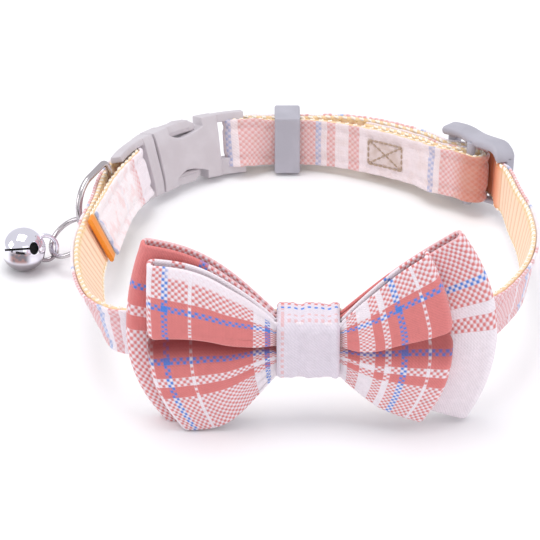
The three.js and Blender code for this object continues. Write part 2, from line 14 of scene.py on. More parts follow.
import bpy
import numpy as np
from mathutils import Euler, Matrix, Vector


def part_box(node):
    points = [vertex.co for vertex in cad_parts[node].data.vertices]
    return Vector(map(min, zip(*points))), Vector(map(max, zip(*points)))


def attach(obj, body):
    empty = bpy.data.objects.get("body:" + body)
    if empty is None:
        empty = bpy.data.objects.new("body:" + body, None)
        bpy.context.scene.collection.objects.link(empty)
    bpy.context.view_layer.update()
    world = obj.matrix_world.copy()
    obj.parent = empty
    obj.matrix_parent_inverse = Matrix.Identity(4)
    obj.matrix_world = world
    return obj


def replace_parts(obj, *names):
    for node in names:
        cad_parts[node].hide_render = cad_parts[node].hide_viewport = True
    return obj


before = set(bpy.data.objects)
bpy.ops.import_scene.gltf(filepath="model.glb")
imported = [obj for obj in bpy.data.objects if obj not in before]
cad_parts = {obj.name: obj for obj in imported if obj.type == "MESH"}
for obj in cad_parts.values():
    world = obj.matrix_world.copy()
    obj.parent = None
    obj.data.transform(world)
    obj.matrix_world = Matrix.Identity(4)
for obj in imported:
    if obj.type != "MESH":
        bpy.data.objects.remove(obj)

LOG = logging.getLogger("collar")
MM = 0.001
UP = np.array([0.0, 0.0, 1.0])
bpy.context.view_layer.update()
SIDES = (-1, 1)


# ---------------------------------------------------------------- frames and routes


def unit(rows: np.ndarray) -> np.ndarray:
    """Returns the rows scaled to length one."""
    return rows / np.linalg.norm(rows, axis=-1, keepdims=True)


def soft_step(t: np.ndarray) -> np.ndarray:
    """Returns t eased from 0 to 1, flat outside that span."""
    c = np.clip(t, 0.0, 1.0)
    return c * c * (3 - 2 * c)


def bump_at(t: np.ndarray, middle: float, width: float) -> np.ndarray:
    """Returns a smooth bump of height one round a middle."""
    return np.exp(-(((t - middle) / width) ** 2))


def lengths(rows: np.ndarray) -> np.ndarray:
    """Returns how far along a row of points each of them is."""
    return np.concatenate([[0], np.cumsum(np.linalg.norm(np.diff(rows, axis=0), axis=1))])


def blended(s: float | np.ndarray, length: np.ndarray, rows: np.ndarray) -> np.ndarray:
    """Returns rows, which are known at some lengths, at the lengths s."""
    return np.stack([np.interp(s, length, column) for column in rows.T], axis=-1)


def tipped(points: np.ndarray, degrees: float) -> np.ndarray:
    """Returns points turned about X, so that their +Y side goes down."""
    c, s = math.cos(math.radians(degrees)), math.sin(math.radians(degrees))
    x, y, z = points[..., 0], points[..., 1], points[..., 2]
    return np.stack([x, y * c + z * s, z * c - y * s], axis=-1)


@dataclass(frozen=True)
class Pose:
    """How the collar lies: its loop is tipped, because the bow lifts its front.

    Attributes:
        tilt: the tip about X, in degrees.
        keeper: the keeper's middle in the collar's own frame, which places the whole.
    """

    tilt: float = 5.49
    keeper: tuple[float, float, float] = (-3.4, 48.0, 0.0)

    def offset(self) -> np.ndarray:
        """Returns where the collar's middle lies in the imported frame, in metres."""
        low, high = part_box("keeper_loop")
        return np.array((low + high) / 2) - tipped(np.array(self.keeper), self.tilt) * MM

    def place(self, points: np.ndarray) -> np.ndarray:
        """Returns points of the collar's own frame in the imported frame, in metres."""
        return tipped(np.asarray(points, float), self.tilt) * MM + self.offset()


POSE = Pose()


@dataclass(frozen=True)
class Arc:
    """The bent line of a hard piece: an arc in plan, leaning outward at the top.

    Attributes:
        x, y, radius: the arc's centre and radius.
        start: the angle at which its length starts, in degrees.
        lean: how far the piece leans outward, in degrees.
        rise: how far it sits above the strap's middle.
    """

    x: float
    y: float
    radius: float
    start: float
    lean: float
    rise: float = 0.0

    def seat(self, s: np.ndarray) -> tuple[np.ndarray, np.ndarray, np.ndarray, np.ndarray]:
        """Returns the origin, along, outward and width directions at lengths s."""
        angle = math.radians(self.start) - np.asarray(s, float) / self.radius
        flat = np.zeros_like(angle)
        level = np.stack([np.cos(angle), np.sin(angle), flat], axis=-1)
        along = np.stack([np.sin(angle), -np.cos(angle), flat], axis=-1)
        c, k = math.cos(math.radians(self.lean)), math.sin(math.radians(self.lean))
        origin = np.array([self.x, self.y, self.rise]) + level * self.radius
        return origin, along, level * c - UP * k, level * k + UP * c

    def points(self, s: np.ndarray, n: np.ndarray, w: np.ndarray) -> np.ndarray:
        """Returns points s along the arc, n outward of it and w up its width."""
        origin, _, out, width = self.seat(s)
        return origin + out * np.asarray(n)[..., None] + width * np.asarray(w)[..., None]


BUCKLE_ARC = Arc(x=-5.6, y=16.9, radius=31.0, start=166.5, lean=15.0)
BUCKLE_LENGTH = 34.6
PRONG_BAR, SOCKET_BAR = 5.6, 33.3
SLIDER_ARC = Arc(x=1.0, y=1.6, radius=44.6, start=41.0, lean=3.0, rise=0.5)


class Station(NamedTuple):
    """One place of the strap's route: a point and the direction of its width."""

    point: np.ndarray
    width: np.ndarray


class RunRow(NamedTuple):
    """A row of the strap's plan route, with its lean in degrees."""

    x: float
    y: float
    z: float
    lean: float


class StackRow(NamedTuple):
    """A row of the stack at the back and where each run lies outward of it."""

    x: float
    y: float
    outer: float
    folded: float | None
    inner: float


class BarRow(NamedTuple):
    """A place past the slider's bars: along it, and outward of its arc."""

    s: float
    n: float


def table(kind: type, *rows: tuple) -> tuple:
    """Returns the rows of a table as objects of their kind."""
    return tuple(kind(*row) for row in rows)


MAIN_RUN = table(
    RunRow,
    (-38.5, 21.6, -0.6, 16), (-39.0, 16.2, -0.5, 18), (-39.3, 9.0, -0.3, 21),
    (-40.2, 0.0, 0.0, 26), (-40.5, -3.6, 0.0, 27.5), (-40.9, -9.5, 0.0, 30),
    (-40.5, -18.5, 0.0, 32), (-39.3, -27.5, 0.1, 30), (-37.5, -35.3, 0.3, 22),
    (-34.2, -40.7, 0.6, 13), (-27.0, -42.8, 0.9, 8), (-16.0, -43.3, 1.1, 6),
    (-6.5, -43.3, 1.2, 6), (6.5, -43.3, 1.2, 6), (17.0, -42.9, 1.1, 6), (27.5, -40.6, 0.9, 8),
    (34.4, -34.8, 0.6, 11), (38.4, -27.3, 0.2, 12), (41.6, -18.5, 0.0, 12), (43.2, -8.0, 0.0, 13),
    (43.0, 3.0, 0.0, 11), (41.6, 12.5, 0.0, 7),
)
BACK_STACK = table(
    StackRow,
    (24.6, 38.1, 2.5, 0.0, -2.5), (18.8, 42.3, 2.5, 0.0, -2.5), (12.6, 45.6, 2.5, 0.0, -2.5),
    (6.0, 47.4, 2.2, None, -1.7), (0.4, 48.0, 1.25, None, -1.25), (-7.0, 47.9, 1.3, None, -1.3),
)
SLIDER_RUN = table(
    BarRow,
    (9.2, 0.2), (7.0, 0.4), (4.6, 2.05), (2.35, 3.27), (0.0, 3.9), (-2.35, 3.27), (-4.6, 1.97),
    (-7.0, 0.55), (-9.2, 0.2),
)
SLIDER_RETURN = table(BarRow, (-9.2, -4.7), (-7.0, -4.5), (-3.5, -3.5))
SLIDER_FOLDED = table(BarRow, (-4.6, -0.9), (-7.0, -2.1), (-9.2, -2.25))
# How far inward of the main run's first rows the folded-over end lies.
FOLD_OVER = (4.2, 3.4, 2.6, 2.5, 2.5)


def through(points: np.ndarray, steps: int) -> np.ndarray:
    """Smooths a row of points with a centripetal Catmull-Rom curve.

    Args:
        points: the rows to pass through.
        steps: the new points for each span.

    Returns:
        The dense rows.
    """
    least = 1e-4
    ends = np.vstack([2 * points[0] - points[1], points, 2 * points[-1] - points[-2]])
    u = (np.arange(steps) / steps)[:, None]
    rows = []
    for i in range(len(points) - 1):
        a, b, c, d = ends[i:i + 4]
        gaps = [float(np.sum((q - p) ** 2)) ** 0.25 for p, q in ((a, b), (b, c), (c, d))]
        middle = gaps[1] if gaps[1] > least else 1.0
        before, after = (gap if gap > least else middle for gap in (gaps[0], gaps[2]))
        start = ((b - a) / before - (c - a) / (before + middle) + (c - b) / middle) * middle
        finish = ((c - b) / middle - (d - b) / (middle + after) + (d - c) / after) * middle
        bend = -3 * b + 3 * c - 2 * start - finish
        rows.append(b + start * u + bend * u**2 + (2 * b - 2 * c + start + finish) * u**3)
    return np.vstack([*rows, points[-1:]])


def outward(rows: Sequence[RunRow | StackRow], i: int) -> np.ndarray:
    """Returns the level direction outward of a plan route at one of its rows."""
    before, after = rows[max(0, i - 1)], rows[min(len(rows) - 1, i + 1)]
    return unit(np.array([after.y - before.y, before.x - after.x, 0.0]))


@dataclass
class StrapRoute:
    """The way of the strap's seam line through the buckle, round the neck and through the slider.

    Attributes:
        turn: the radius of the seam line round a bar.
        clear: how far the seam line still runs level past a turn round one of the buckle's bars.
        bar_inset: how far the slider's middle bar lies inward of its arc.
    """

    turn: float = 2.3
    clear: float = 0.8
    bar_inset: float = 0.8

    def leaning(self) -> list[Station]:
        """Returns the stations of the main run."""
        rows = []
        for i, row in enumerate(MAIN_RUN):
            lean = math.radians(row.lean)
            width = UP * math.cos(lean) + outward(MAIN_RUN, i) * math.sin(lean)
            rows.append(Station(np.array([row.x, row.y, row.z]), width))
        return rows

    def stack(self, key: str) -> list[Station]:
        """Returns one run of the stack at the back.

        Args:
            key: the column that holds the run's distance outward.
        """
        rows = []
        for i, row in enumerate(BACK_STACK):
            offset = getattr(row, key)
            if offset is not None:
                point = np.array([row.x, row.y, 0.0]) + outward(BACK_STACK, i) * offset
                rows.append(Station(point, UP.copy()))
        return rows

    def fold_over(self, main: list[Station]) -> list[Station]:
        """Returns the folded-over end, inward of the first rows of the main run."""
        rows = []
        for i, distance in enumerate(FOLD_OVER):
            ahead = unit(main[i + 1].point - main[i].point)
            out = unit(np.cross(ahead, main[i].width))
            rows.append(Station(main[i].point - out * distance, main[i].width))
        return rows[::-1]

    def on(self, arc: Arc, rows: Sequence[BarRow]) -> list[Station]:
        """Returns stations on a hard piece's arc, at the strap's own height."""
        return [Station(arc.points(row.s, row.n, -arc.rise), arc.seat(row.s)[3]) for row in rows]

    def half(self, arc: Arc, s: float, inset: float, turn: tuple[float, float],
             steps: int) -> list[Station]:
        """Returns a turn round a bar.

        Args:
            arc: the hard piece's arc.
            s: where the bar is along it.
            inset: how far the bar lies inward of the arc.
            turn: the first and last angle from the along direction, in degrees.
            steps: how many spans the turn has.
        """
        origin, along, out, width = arc.seat(s)
        middle = origin - out * inset - UP * arc.rise
        rows = []
        for i in range(steps + 1):
            angle = math.radians(turn[0] + (turn[1] - turn[0]) * i / steps)
            point = middle + (along * math.cos(angle) + out * math.sin(angle)) * self.turn
            rows.append(Station(point, width))
        return rows

    def round_bar(self, bar: float, beside: float, side: int) -> list[Station]:
        """Returns the way round one of the buckle's bars.

        Args:
            bar: where the bar is along the buckle.
            beside: where the strap comes and goes along it.
            side: 1 where the strap comes on the outer side, -1 where it comes on the inner.
        """
        return [
            *self.on(BUCKLE_ARC, [BarRow(beside, side * self.turn)]),
            *self.half(BUCKLE_ARC, bar, 0.0, (side * 90, side * 90 + 180), 8),
            *self.on(BUCKLE_ARC, [BarRow(beside, -side * self.turn)]),
        ]

    def stations(self) -> list[Station]:
        """Returns the whole route, from the folded-over end to the end sewn at the slider."""
        main = self.leaning()
        return [
            *self.fold_over(main),
            *self.round_bar(PRONG_BAR, self.clear, -1),
            *main,
            *self.on(SLIDER_ARC, SLIDER_RUN),
            *self.stack("outer"),
            *self.round_bar(SOCKET_BAR, BUCKLE_LENGTH + self.clear, 1),
            *self.stack("inner")[::-1],
            *self.on(SLIDER_ARC, SLIDER_RETURN),
            *self.half(SLIDER_ARC, 0.0, self.bar_inset, (-90, 120), 9),
            *self.on(SLIDER_ARC, SLIDER_FOLDED),
            *self.stack("folded"),
        ]


@dataclass
class Line:
    """Even frames along a route.

    Attributes:
        s: the length along the route at each frame.
        point, out, width: the frames themselves.
    """

    s: np.ndarray
    point: np.ndarray
    out: np.ndarray
    width: np.ndarray

    @classmethod
    def along(cls, stations: list[Station], step: float) -> "Line":
        """Returns the frames of a route, one for each step of its length."""
        points = through(np.array([station.point for station in stations]), 40)
        widths = through(np.array([station.width for station in stations]), 40)
        length = lengths(points)
        s = np.linspace(0, length[-1], int(length[-1] / step) + 1)
        point = blended(s, length, points)
        tangent = unit(np.gradient(point, axis=0))
        out = unit(np.cross(tangent, blended(s, length, widths)))
        return cls(s, point, out, unit(np.cross(out, tangent)))

    def at(self, s: float, n: float, w: float) -> np.ndarray:
        """Returns the point s along the route, n outward of it and w up its width."""
        rows = (self.point, self.out, self.width)
        point, out, width = (blended(s, self.s, row) for row in rows)
        return point + unit(out) * n + unit(width) * w

    def nearest(self, place: tuple[float, float], start: float, end: float) -> float:
        """Returns the length at which the route passes a place in plan.

        Args:
            place: the place.
            start: the least length that counts.
            end: how far before the route's end the last length that counts is.
        """
        away = np.linalg.norm(self.point[:, :2] - np.array(place), axis=1)
        counts = (self.s >= start) & (self.s <= self.s[-1] - end)
        return float(self.s[int(np.argmin(np.where(counts, away, np.inf)))])


# ---------------------------------------------------------------- meshes


def new_object(name: str, points: np.ndarray, faces: np.ndarray | list) -> bpy.types.Object:
    """Makes a mesh object from points of the collar's own frame.

    Args:
        name: the piece's name.
        points: its points, in millimetres.
        faces: rows of point numbers.

    Returns:
        The object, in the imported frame.
    """
    mesh = bpy.data.meshes.new(name)
    mesh.from_pydata(POSE.place(points).tolist(), [], [list(map(int, face)) for face in faces])
    mesh.validate()
    made = bpy.data.objects.new(name, mesh)
    bpy.context.scene.collection.objects.link(made)
    return made


def sweep(name: str, rings: np.ndarray, uv: np.ndarray, closed: bool) -> bpy.types.Object:
    """Joins rings of points into one closed body with a UV map.

    Args:
        name: the piece's name.
        rings: rings by points by 3, in millimetres.
        uv: (rings, or one more where closed) by (points + 1) by 2.
        closed: whether the last ring meets the first.

    Returns:
        The object, its faces pointing out.
    """
    count, sides = rings.shape[:2]
    i, j = np.meshgrid(np.arange(count if closed else count - 1), np.arange(sides), indexing="ij")
    i, j = i.ravel(), j.ravel()
    corners = [(i, j), (i, j + 1), (i + 1, j + 1), (i + 1, j)]
    quads = np.stack([(a % count) * sides + b % sides for a, b in corners], axis=-1)
    coords = np.stack([uv[a, b] for a, b in corners], axis=1)
    points = rings.reshape(-1, 3)
    middle = points - points.mean(axis=0)
    a, b, c, d = (middle[quads[:, k]] for k in range(4))
    volume = np.sum(a * np.cross(b, c)) + np.sum(a * np.cross(c, d))
    if volume < 0:
        quads, coords = quads[:, ::-1], coords[:, ::-1]
    faces = quads.tolist()
    loops = coords.reshape(-1, 2)
    if not closed:
        first, last = np.arange(sides), (count - 1) * sides + np.arange(sides)
        caps = [first[::-1], last] if volume > 0 else [first, last[::-1]]
        for cap in caps:
            row = uv[0 if cap[0] < sides else count - 1]
            faces.append(cap.tolist())
            loops = np.vstack([loops, row[cap % sides]])
    made = new_object(name, points, faces)
    layer = made.data.uv_layers.new(name="cloth")
    layer.data.foreach_set("uv", np.ascontiguousarray(loops, dtype=np.float32).ravel())
    made.data.shade_smooth()
    return made


def copies(name: str, shape: tuple[np.ndarray, list], frames: list[np.ndarray]) -> bpy.types.Object:
    """Makes one mesh of many small copies of a shape.

    Args:
        name: the piece's name.
        shape: its points and faces.
        frames: a 4 by 3 array for each copy: its three axes and its middle.

    Returns:
        The object.
    """
    points, faces = shape
    all_points = np.vstack([points @ axes[:3] + axes[3] for axes in frames])
    step = len(points)
    all_faces = [[k + n * step for k in face] for n in range(len(frames)) for face in faces]
    made = new_object(name, all_points, all_faces)
    made.data.shade_smooth()
    return made


def lozenge(sides: int, rows: int) -> tuple[np.ndarray, list]:
    """Returns a rounded grain of unit half sizes, long on X, with closed ends."""
    points = [[-1.0, 0.0, 0.0]]
    for k in range(1, rows):
        angle = math.pi * k / rows
        for j in range(sides):
            turn = 2 * math.pi * j / sides
            ring = math.sin(angle)
            points.append([-math.cos(angle), ring * math.cos(turn), ring * math.sin(turn)])
    points.append([1.0, 0.0, 0.0])
    faces = []
    for j in range(sides):
        k = (j + 1) % sides
        faces.append([0, 1 + k, 1 + j])
        last = 1 + (rows - 2) * sides
        faces.append([last + j, last + k, len(points) - 1])
    for row in range(rows - 2):
        base = 1 + row * sides
        for j in range(sides):
            k = (j + 1) % sides
            faces.append([base + j, base + k, base + sides + k, base + sides + j])
    return np.array(points), faces


def thread_tube(name: str, path: np.ndarray, radius: float) -> bpy.types.Object:
    """Makes a six-sided thread along a path.

    Args:
        name: the piece's name.
        path: the points it follows, in millimetres.
        radius: its radius.

    Returns:
        The object.
    """
    sides = 6
    tangent = unit(np.gradient(path, axis=0))
    side = unit(np.cross(tangent, np.array([0.31, 0.23, 0.92])))
    other = np.cross(tangent, side)
    turn = np.linspace(0, 2 * math.pi, sides, endpoint=False)
    rings = path[:, None] + radius * (
        side[:, None] * np.cos(turn)[None, :, None] + other[:, None] * np.sin(turn)[None, :, None]
    )
    uv = np.zeros((len(path), sides + 1, 2))
    uv[:, :, 0] = lengths(path)[:, None] * MM
    uv[:, :, 1] = np.linspace(0, 1, sides + 1)[None]
    return sweep(name, rings, uv, closed=False)


# ---------------------------------------------------------------- materials


def tint(red: int, green: int, blue: int) -> tuple[float, float, float, float]:
    """Returns a colour of 0 to 255 parts as the linear colour that a shader takes."""
    def linear(part: float) -> float:
        """Returns one part in linear light."""
        return part / 12.92 if part <= 0.04045 else ((part + 0.055) / 1.055) ** 2.4
    return (*(linear(part / 255) for part in (red, green, blue)), 1.0)


def maths(operation: str, first: bool = True) -> Callable[..., "Term"]:
    """Makes a method of Term that adds a Math node.

    Args:
        operation: the node's operation.
        first: whether the term comes before the other number.

    Returns:
        The method.
    """
    def method(term: "Term", *others: "Term | float") -> "Term":
        """Returns the operation's result."""
        terms = [term, *others] if first else [*others, term]
        node = term.dress.add("ShaderNodeMath", {"operation": operation}, dict(enumerate(terms)))
        return Term(term.dress, node.outputs[0])
    return method


class Term:
    """A number inside a shader that Python's operators work on."""

    __add__ = __radd__ = maths("ADD")
    __sub__, __rsub__ = maths("SUBTRACT"), maths("SUBTRACT", first=False)
    __mul__ = __rmul__ = maths("MULTIPLY")
    __truediv__ = maths("DIVIDE")
    floor, fract, sin, abs = map(maths, ("FLOOR", "FRACT", "SINE", "ABSOLUTE"))

    def __init__(self, dress: "Dress", socket: bpy.types.NodeSocket) -> None:
        """Keeps the material being made and the socket that gives the number."""
        self.dress = dress
        self.socket = socket

    def between(self, low: float, high: float) -> "Term":
        """Returns 0 below low, 1 above high and a smooth step between them."""
        settings = {"interpolation_type": "SMOOTHSTEP"}
        sockets = {0: self, 1: low, 2: high, 3: 0.0, 4: 1.0}
        return Term(self.dress, self.dress.add("ShaderNodeMapRange", settings, sockets).outputs[0])

    def past(self, low: float, high: float) -> "Term":
        """Returns a length's smooth step from 0 to 1 between two places in millimetres."""
        return self.between(low * MM, high * MM)

    def until(self, low: float, high: float) -> "Term":
        """Returns a length's smooth step from 1 to 0 between two places in millimetres."""
        return 1 - self.past(low, high)

    def within(self, rise: float, top: float, fall: float, end: float) -> "Term":
        """Returns a length's smooth step up and then down, at four places in millimetres."""
        return self.past(rise, top) * self.until(fall, end)


class Dress:
    """A material under construction."""

    def __init__(self, name: str) -> None:
        """Starts an empty material."""
        self.material = bpy.data.materials.new(name)
        self.material.use_nodes = True
        self.tree = self.material.node_tree
        self.tree.nodes.clear()

    def add(self, kind: str, settings: dict, sockets: dict) -> bpy.types.Node:
        """Adds a node.

        Args:
            kind: the node's type.
            settings: its properties; "stops" gives a ramp's places and colours.
            sockets: the value or the link of each input, by name or number.

        Returns:
            The node.
        """
        node = self.tree.nodes.new(kind)
        for key, value in settings.items():
            if key == "stops":
                self.set_stops(node, value)
            else:
                setattr(node, key, value)
        for key, value in sockets.items():
            if isinstance(value, Term):
                self.tree.links.new(value.socket, node.inputs[key])
            elif isinstance(value, bpy.types.NodeSocket):
                self.tree.links.new(value, node.inputs[key])
            else:
                node.inputs[key].default_value = value
        return node

    def set_stops(self, node: bpy.types.Node, stops: Sequence[tuple[float, tuple]]) -> None:
        """Gives a ramp its places and colours, with sharp steps between them."""
        ramp = node.color_ramp
        ramp.interpolation = "CONSTANT"
        ramp.elements[0].position, ramp.elements[0].color = stops[0]
        ramp.elements.remove(ramp.elements[1])
        for place, colour in stops[1:]:
            element = ramp.elements.new(place)
            element.color = colour

    def uv(self) -> tuple[Term, Term]:
        """Returns the piece's own length and width coordinates, in metres."""
        source = self.add("ShaderNodeUVMap", {"uv_map": "cloth"}, {})
        parts = self.add("ShaderNodeSeparateXYZ", {}, {0: source.outputs[0]})
        return Term(self, parts.outputs[0]), Term(self, parts.outputs[1])

    def place(self) -> bpy.types.NodeSocket:
        """Returns the Object coordinates."""
        return self.add("ShaderNodeTexCoord", {}, {}).outputs["Object"]

    def noise(self, scale: float, detail: float = 2.0) -> Term:
        """Returns a cloudy number between 0 and 1 at a scale per metre."""
        sockets = {"Vector": self.place(), "Scale": scale, "Detail": detail}
        return Term(self, self.add("ShaderNodeTexNoise", {}, sockets).outputs[0])

    def mix(self, factor: Term | float, first: object, second: object) -> bpy.types.NodeSocket:
        """Returns the first colour turned into the second by a factor."""
        sockets = {0: factor, 6: first, 7: second}
        return self.add("ShaderNodeMix", {"data_type": "RGBA"}, sockets).outputs[2]

    def shade(self, colour: object, amount: Term) -> bpy.types.NodeSocket:
        """Returns a colour darkened or lightened by an amount."""
        settings = {"operation": "SCALE"}
        first = colour[:3] if isinstance(colour, tuple) else colour
        return self.add("ShaderNodeVectorMath", settings, {0: first, "Scale": amount}).outputs[0]

    def relief(self, height: Term, depth: float) -> bpy.types.NodeSocket:
        """Returns the normal of a surface with a height of 0 to 1 over a depth in millimetres."""
        sockets = {"Height": height, "Distance": depth * MM, "Strength": 1.0}
        return self.add("ShaderNodeBump", {}, sockets).outputs[0]

    def close(self, colour: object, rough: Term | float, normal: object = None,
              others: dict | None = None) -> bpy.types.Material:
        """Adds the surface shader.

        Args:
            colour, rough: the colour and the roughness.
            normal: the relief, where there is one.
            others: the inputs that are the same all over.

        Returns:
            The finished material.
        """
        sockets = {"Base Color": colour, "Roughness": rough, **(others or {})}
        if normal is not None:
            sockets["Normal"] = normal
        shader = self.add("ShaderNodeBsdfPrincipled", {}, sockets)
        self.add("ShaderNodeOutputMaterial", {}, {0: shader.outputs[0]})
        return self.material


class Thread(NamedTuple):
    """A stripe of the plaid: how many threads it has and their colour."""

    count: int
    colour: str


@dataclass(frozen=True)
class Palette:
    """The colours of the plaid's threads."""

    pink: tuple = tint(224, 130, 128)
    white: tuple = tint(246, 236, 242)
    blue: tuple = tint(84, 136, 222)
    blush: tuple = tint(232, 192, 196)


PLAID = table(
    Thread,
    (2, "blue"), (6, "pink"), (1, "white"), (19, "pink"), (4, "white"), (2, "blue"),
    (29, "white"), (4, "pink"), (5, "white"), (3, "pink"), (2, "white"), (3, "pink"),
)
STRAP_PLAID = table(
    Thread,
    (2, "blue"), (2, "white"), (3, "pink"), (5, "white"), (4, "pink"), (29, "white"), (2, "blue"),
    (2, "white"), (18, "pink"), (1, "white"), (8, "pink"),
)


@dataclass(frozen=True)
class PlaidCotton:
    """Plain-woven plaid cotton. Dots of pink show where one set of threads is white.

    Attributes:
        name: the material's name.
        across: the stripes that cross the piece's length.
        along: the stripes that run along its length, from the bottom up.
        start: the thread of "across" at which the piece's length starts.
        first: the thread of "along" at its zero width.
        pitch: the spacing of the threads of "across", in millimetres.
        rows: the spacing of the threads of "along".
        soft: how far neighbouring threads blend, 0 to 1.
        calm: how far the dots fade into one colour, 0 to 1.
        skew: how many threads the cloth climbs over its slope.
        slope: the lengths between which it climbs, in millimetres.
        waver: how far the threads stray, in threads.
        palette: the colours of the threads.
    """

    name: str
    across: tuple[Thread, ...]
    along: tuple[Thread, ...]
    start: float = 0.0
    first: float = 0.0
    pitch: float = 0.5625
    rows: float = 0.66
    soft: float = 0.0
    calm: float = 0.0
    skew: float = 0.0
    slope: tuple[float, float] = (-27.0, 8.0)
    waver: float = 0.35
    palette: Palette = field(default_factory=Palette)

    def stripes(self, dress: Dress, thread: Term, rows: tuple[Thread, ...]) -> bpy.types.NodeSocket:
        """Returns the colour of each thread of one set."""
        total = sum(row.count for row in rows)
        stops, place = [], 0
        for row in rows:
            stops.append((place / total, getattr(self.palette, row.colour)))
            place += row.count
        where = ((thread.floor() + 0.5) / total).fract()
        return dress.add("ShaderNodeValToRGB", {"stops": stops}, {0: where}).outputs[0]

    def make(self, extra: Callable[[Dress, object, Term, Term], object] | None = None
             ) -> bpy.types.Material:
        """Makes the material.

        Args:
            extra: a change to the colour, from the dress, the colour, the length and the width.

        Returns:
            The material.
        """
        dress = Dress(self.name)
        length, width = dress.uv()
        wander = dress.noise(260.0) - 0.5
        i = length * (1 / (self.pitch * MM)) + self.start + wander * self.waver
        drift = length.past(*self.slope) * self.skew
        j = width * (1 / (self.rows * MM)) + self.first - drift + wander * self.waver
        cell = (i * math.pi).sin() * (j * math.pi).sin()
        over = cell.between(-0.30 - self.soft, 0.34 + self.soft)
        warp = self.stripes(dress, i, self.across)
        weft = self.stripes(dress, j, self.along)
        cloth = dress.mix(over * (1 - self.calm) + 0.5 * self.calm, weft, warp)
        fine = ((i + j) * (2 * math.pi)).sin() * 0.5 + 0.5
        fuzz = dress.noise(5200.0, 3.0)
        slub = dress.noise(900.0)
        cloth = dress.shade(cloth, 0.92 + fine * 0.07 + (fuzz - 0.5) * 0.2 + (slub - 0.5) * 0.16)
        if extra is not None:
            cloth = extra(dress, cloth, length, width)
        normal = dress.relief(cell.abs() * 0.6 + fine * 0.2 + fuzz * 0.5, 0.07)
        sheen = {"Sheen Weight": 0.25, "Sheen Roughness": 0.5, "Specular IOR Level": 0.25}
        return dress.close(cloth, 0.82 + fuzz * 0.12, normal, sheen)


@dataclass(frozen=True)
class RibbedWebbing:
    """Cream ribbed nylon webbing with gold edges, painted shade in its grooves and a patch of
    painted warm shade, and a sealed amber end that is partly painted glow.

    Attributes:
        name: the material's name.
        cream, groove_shade, gold, amber, painted_warm_shade: the colours of its face, the painted
        shade in the grooves between its ribs, its edges, its sealed end and its patch of painted
        warm shade.
        pick: the spacing of the threads across its ribs, in millimetres.
        edge: the widths between which it turns gold.
        patch: the lengths over which the painted warm shade at the socket's bar comes and goes.
    """

    name: str = "cream_ribbed_webbing"
    cream: tuple = tint(251, 220, 190)
    groove_shade: tuple = tint(234, 186, 148)
    gold: tuple = tint(240, 210, 158)
    amber: tuple = tint(243, 146, 40)
    painted_warm_shade: tuple = tint(224, 108, 44)
    pick: float = 0.32
    edge: tuple[float, float] = (3.5, 4.1)
    patch: tuple[float, float, float, float] = (244.0, 247.5, 255.0, 259.0)

    def make(self, rib: float, sealed: float) -> bpy.types.Material:
        """Makes the material.

        Args:
            rib: the pitch of the ribs, in millimetres.
            sealed: the length of the sealed end.

        Returns:
            The material.
        """
        dress = Dress(self.name)
        length, width = dress.uv()
        ridge = (length * (math.pi / (rib * MM))).sin().abs()
        yarn = dress.noise(3800.0, 3.0)
        cross = (width * (2 * math.pi / (self.pick * MM))).sin() * 0.5 + 0.5
        # Painted shade: the grooves between the ribs are darker than their crests.
        body = dress.mix(ridge.between(0.0, 0.75), self.groove_shade, self.cream)
        body = dress.mix(width.abs().past(*self.edge) * (0.45 + yarn * 0.5), body, self.gold)
        # A patch of painted warm shade: light bounced into the shaded gap by a bar.
        body = dress.mix(length.within(*self.patch) * 0.8, body, self.painted_warm_shade)
        # The sealed end is amber: partly its own melted colour, partly painted glow of light
        # through it.
        body = dress.mix(length.until(sealed * 0.8, sealed * 1.1), body, self.amber)
        body = dress.shade(body, 0.92 + yarn * 0.12 + cross * 0.03)
        normal = dress.relief(yarn * 0.6 + cross * 0.3, 0.05)
        sheen = {"Sheen Weight": 0.15, "Specular IOR Level": 0.4}
        return dress.close(body, 0.58 + yarn * 0.2, normal, sheen)


@dataclass(frozen=True)
class SewingThread:
    """Spun thread of one colour."""

    name: str
    colour: tuple
    roughness: float = 0.6

    def make(self) -> bpy.types.Material:
        """Makes the material."""
        dress = Dress(self.name)
        fibre = dress.noise(4200.0)
        colour = dress.shade(self.colour, 0.84 + fibre * 0.3)
        normal = dress.relief(fibre, 0.05)
        return dress.close(colour, self.roughness + fibre * 0.2, normal, {"Sheen Weight": 0.2})


@dataclass(frozen=True)
class SatinPlastic:
    """Moulded plastic with a fine satin skin, a little paler where it is rubbed."""

    name: str
    colour: tuple
    rubbed: tuple

    def make(self) -> bpy.types.Material:
        """Makes the material."""
        dress = Dress(self.name)
        cloud = dress.noise(180.0, 3.0)
        grain = dress.noise(7000.0)
        colour = dress.mix(cloud.between(0.35, 0.7), self.colour, self.rubbed)
        normal = dress.relief(grain, 0.012)
        return dress.close(colour, 0.4 + grain * 0.14, normal, {"Specular IOR Level": 0.45})


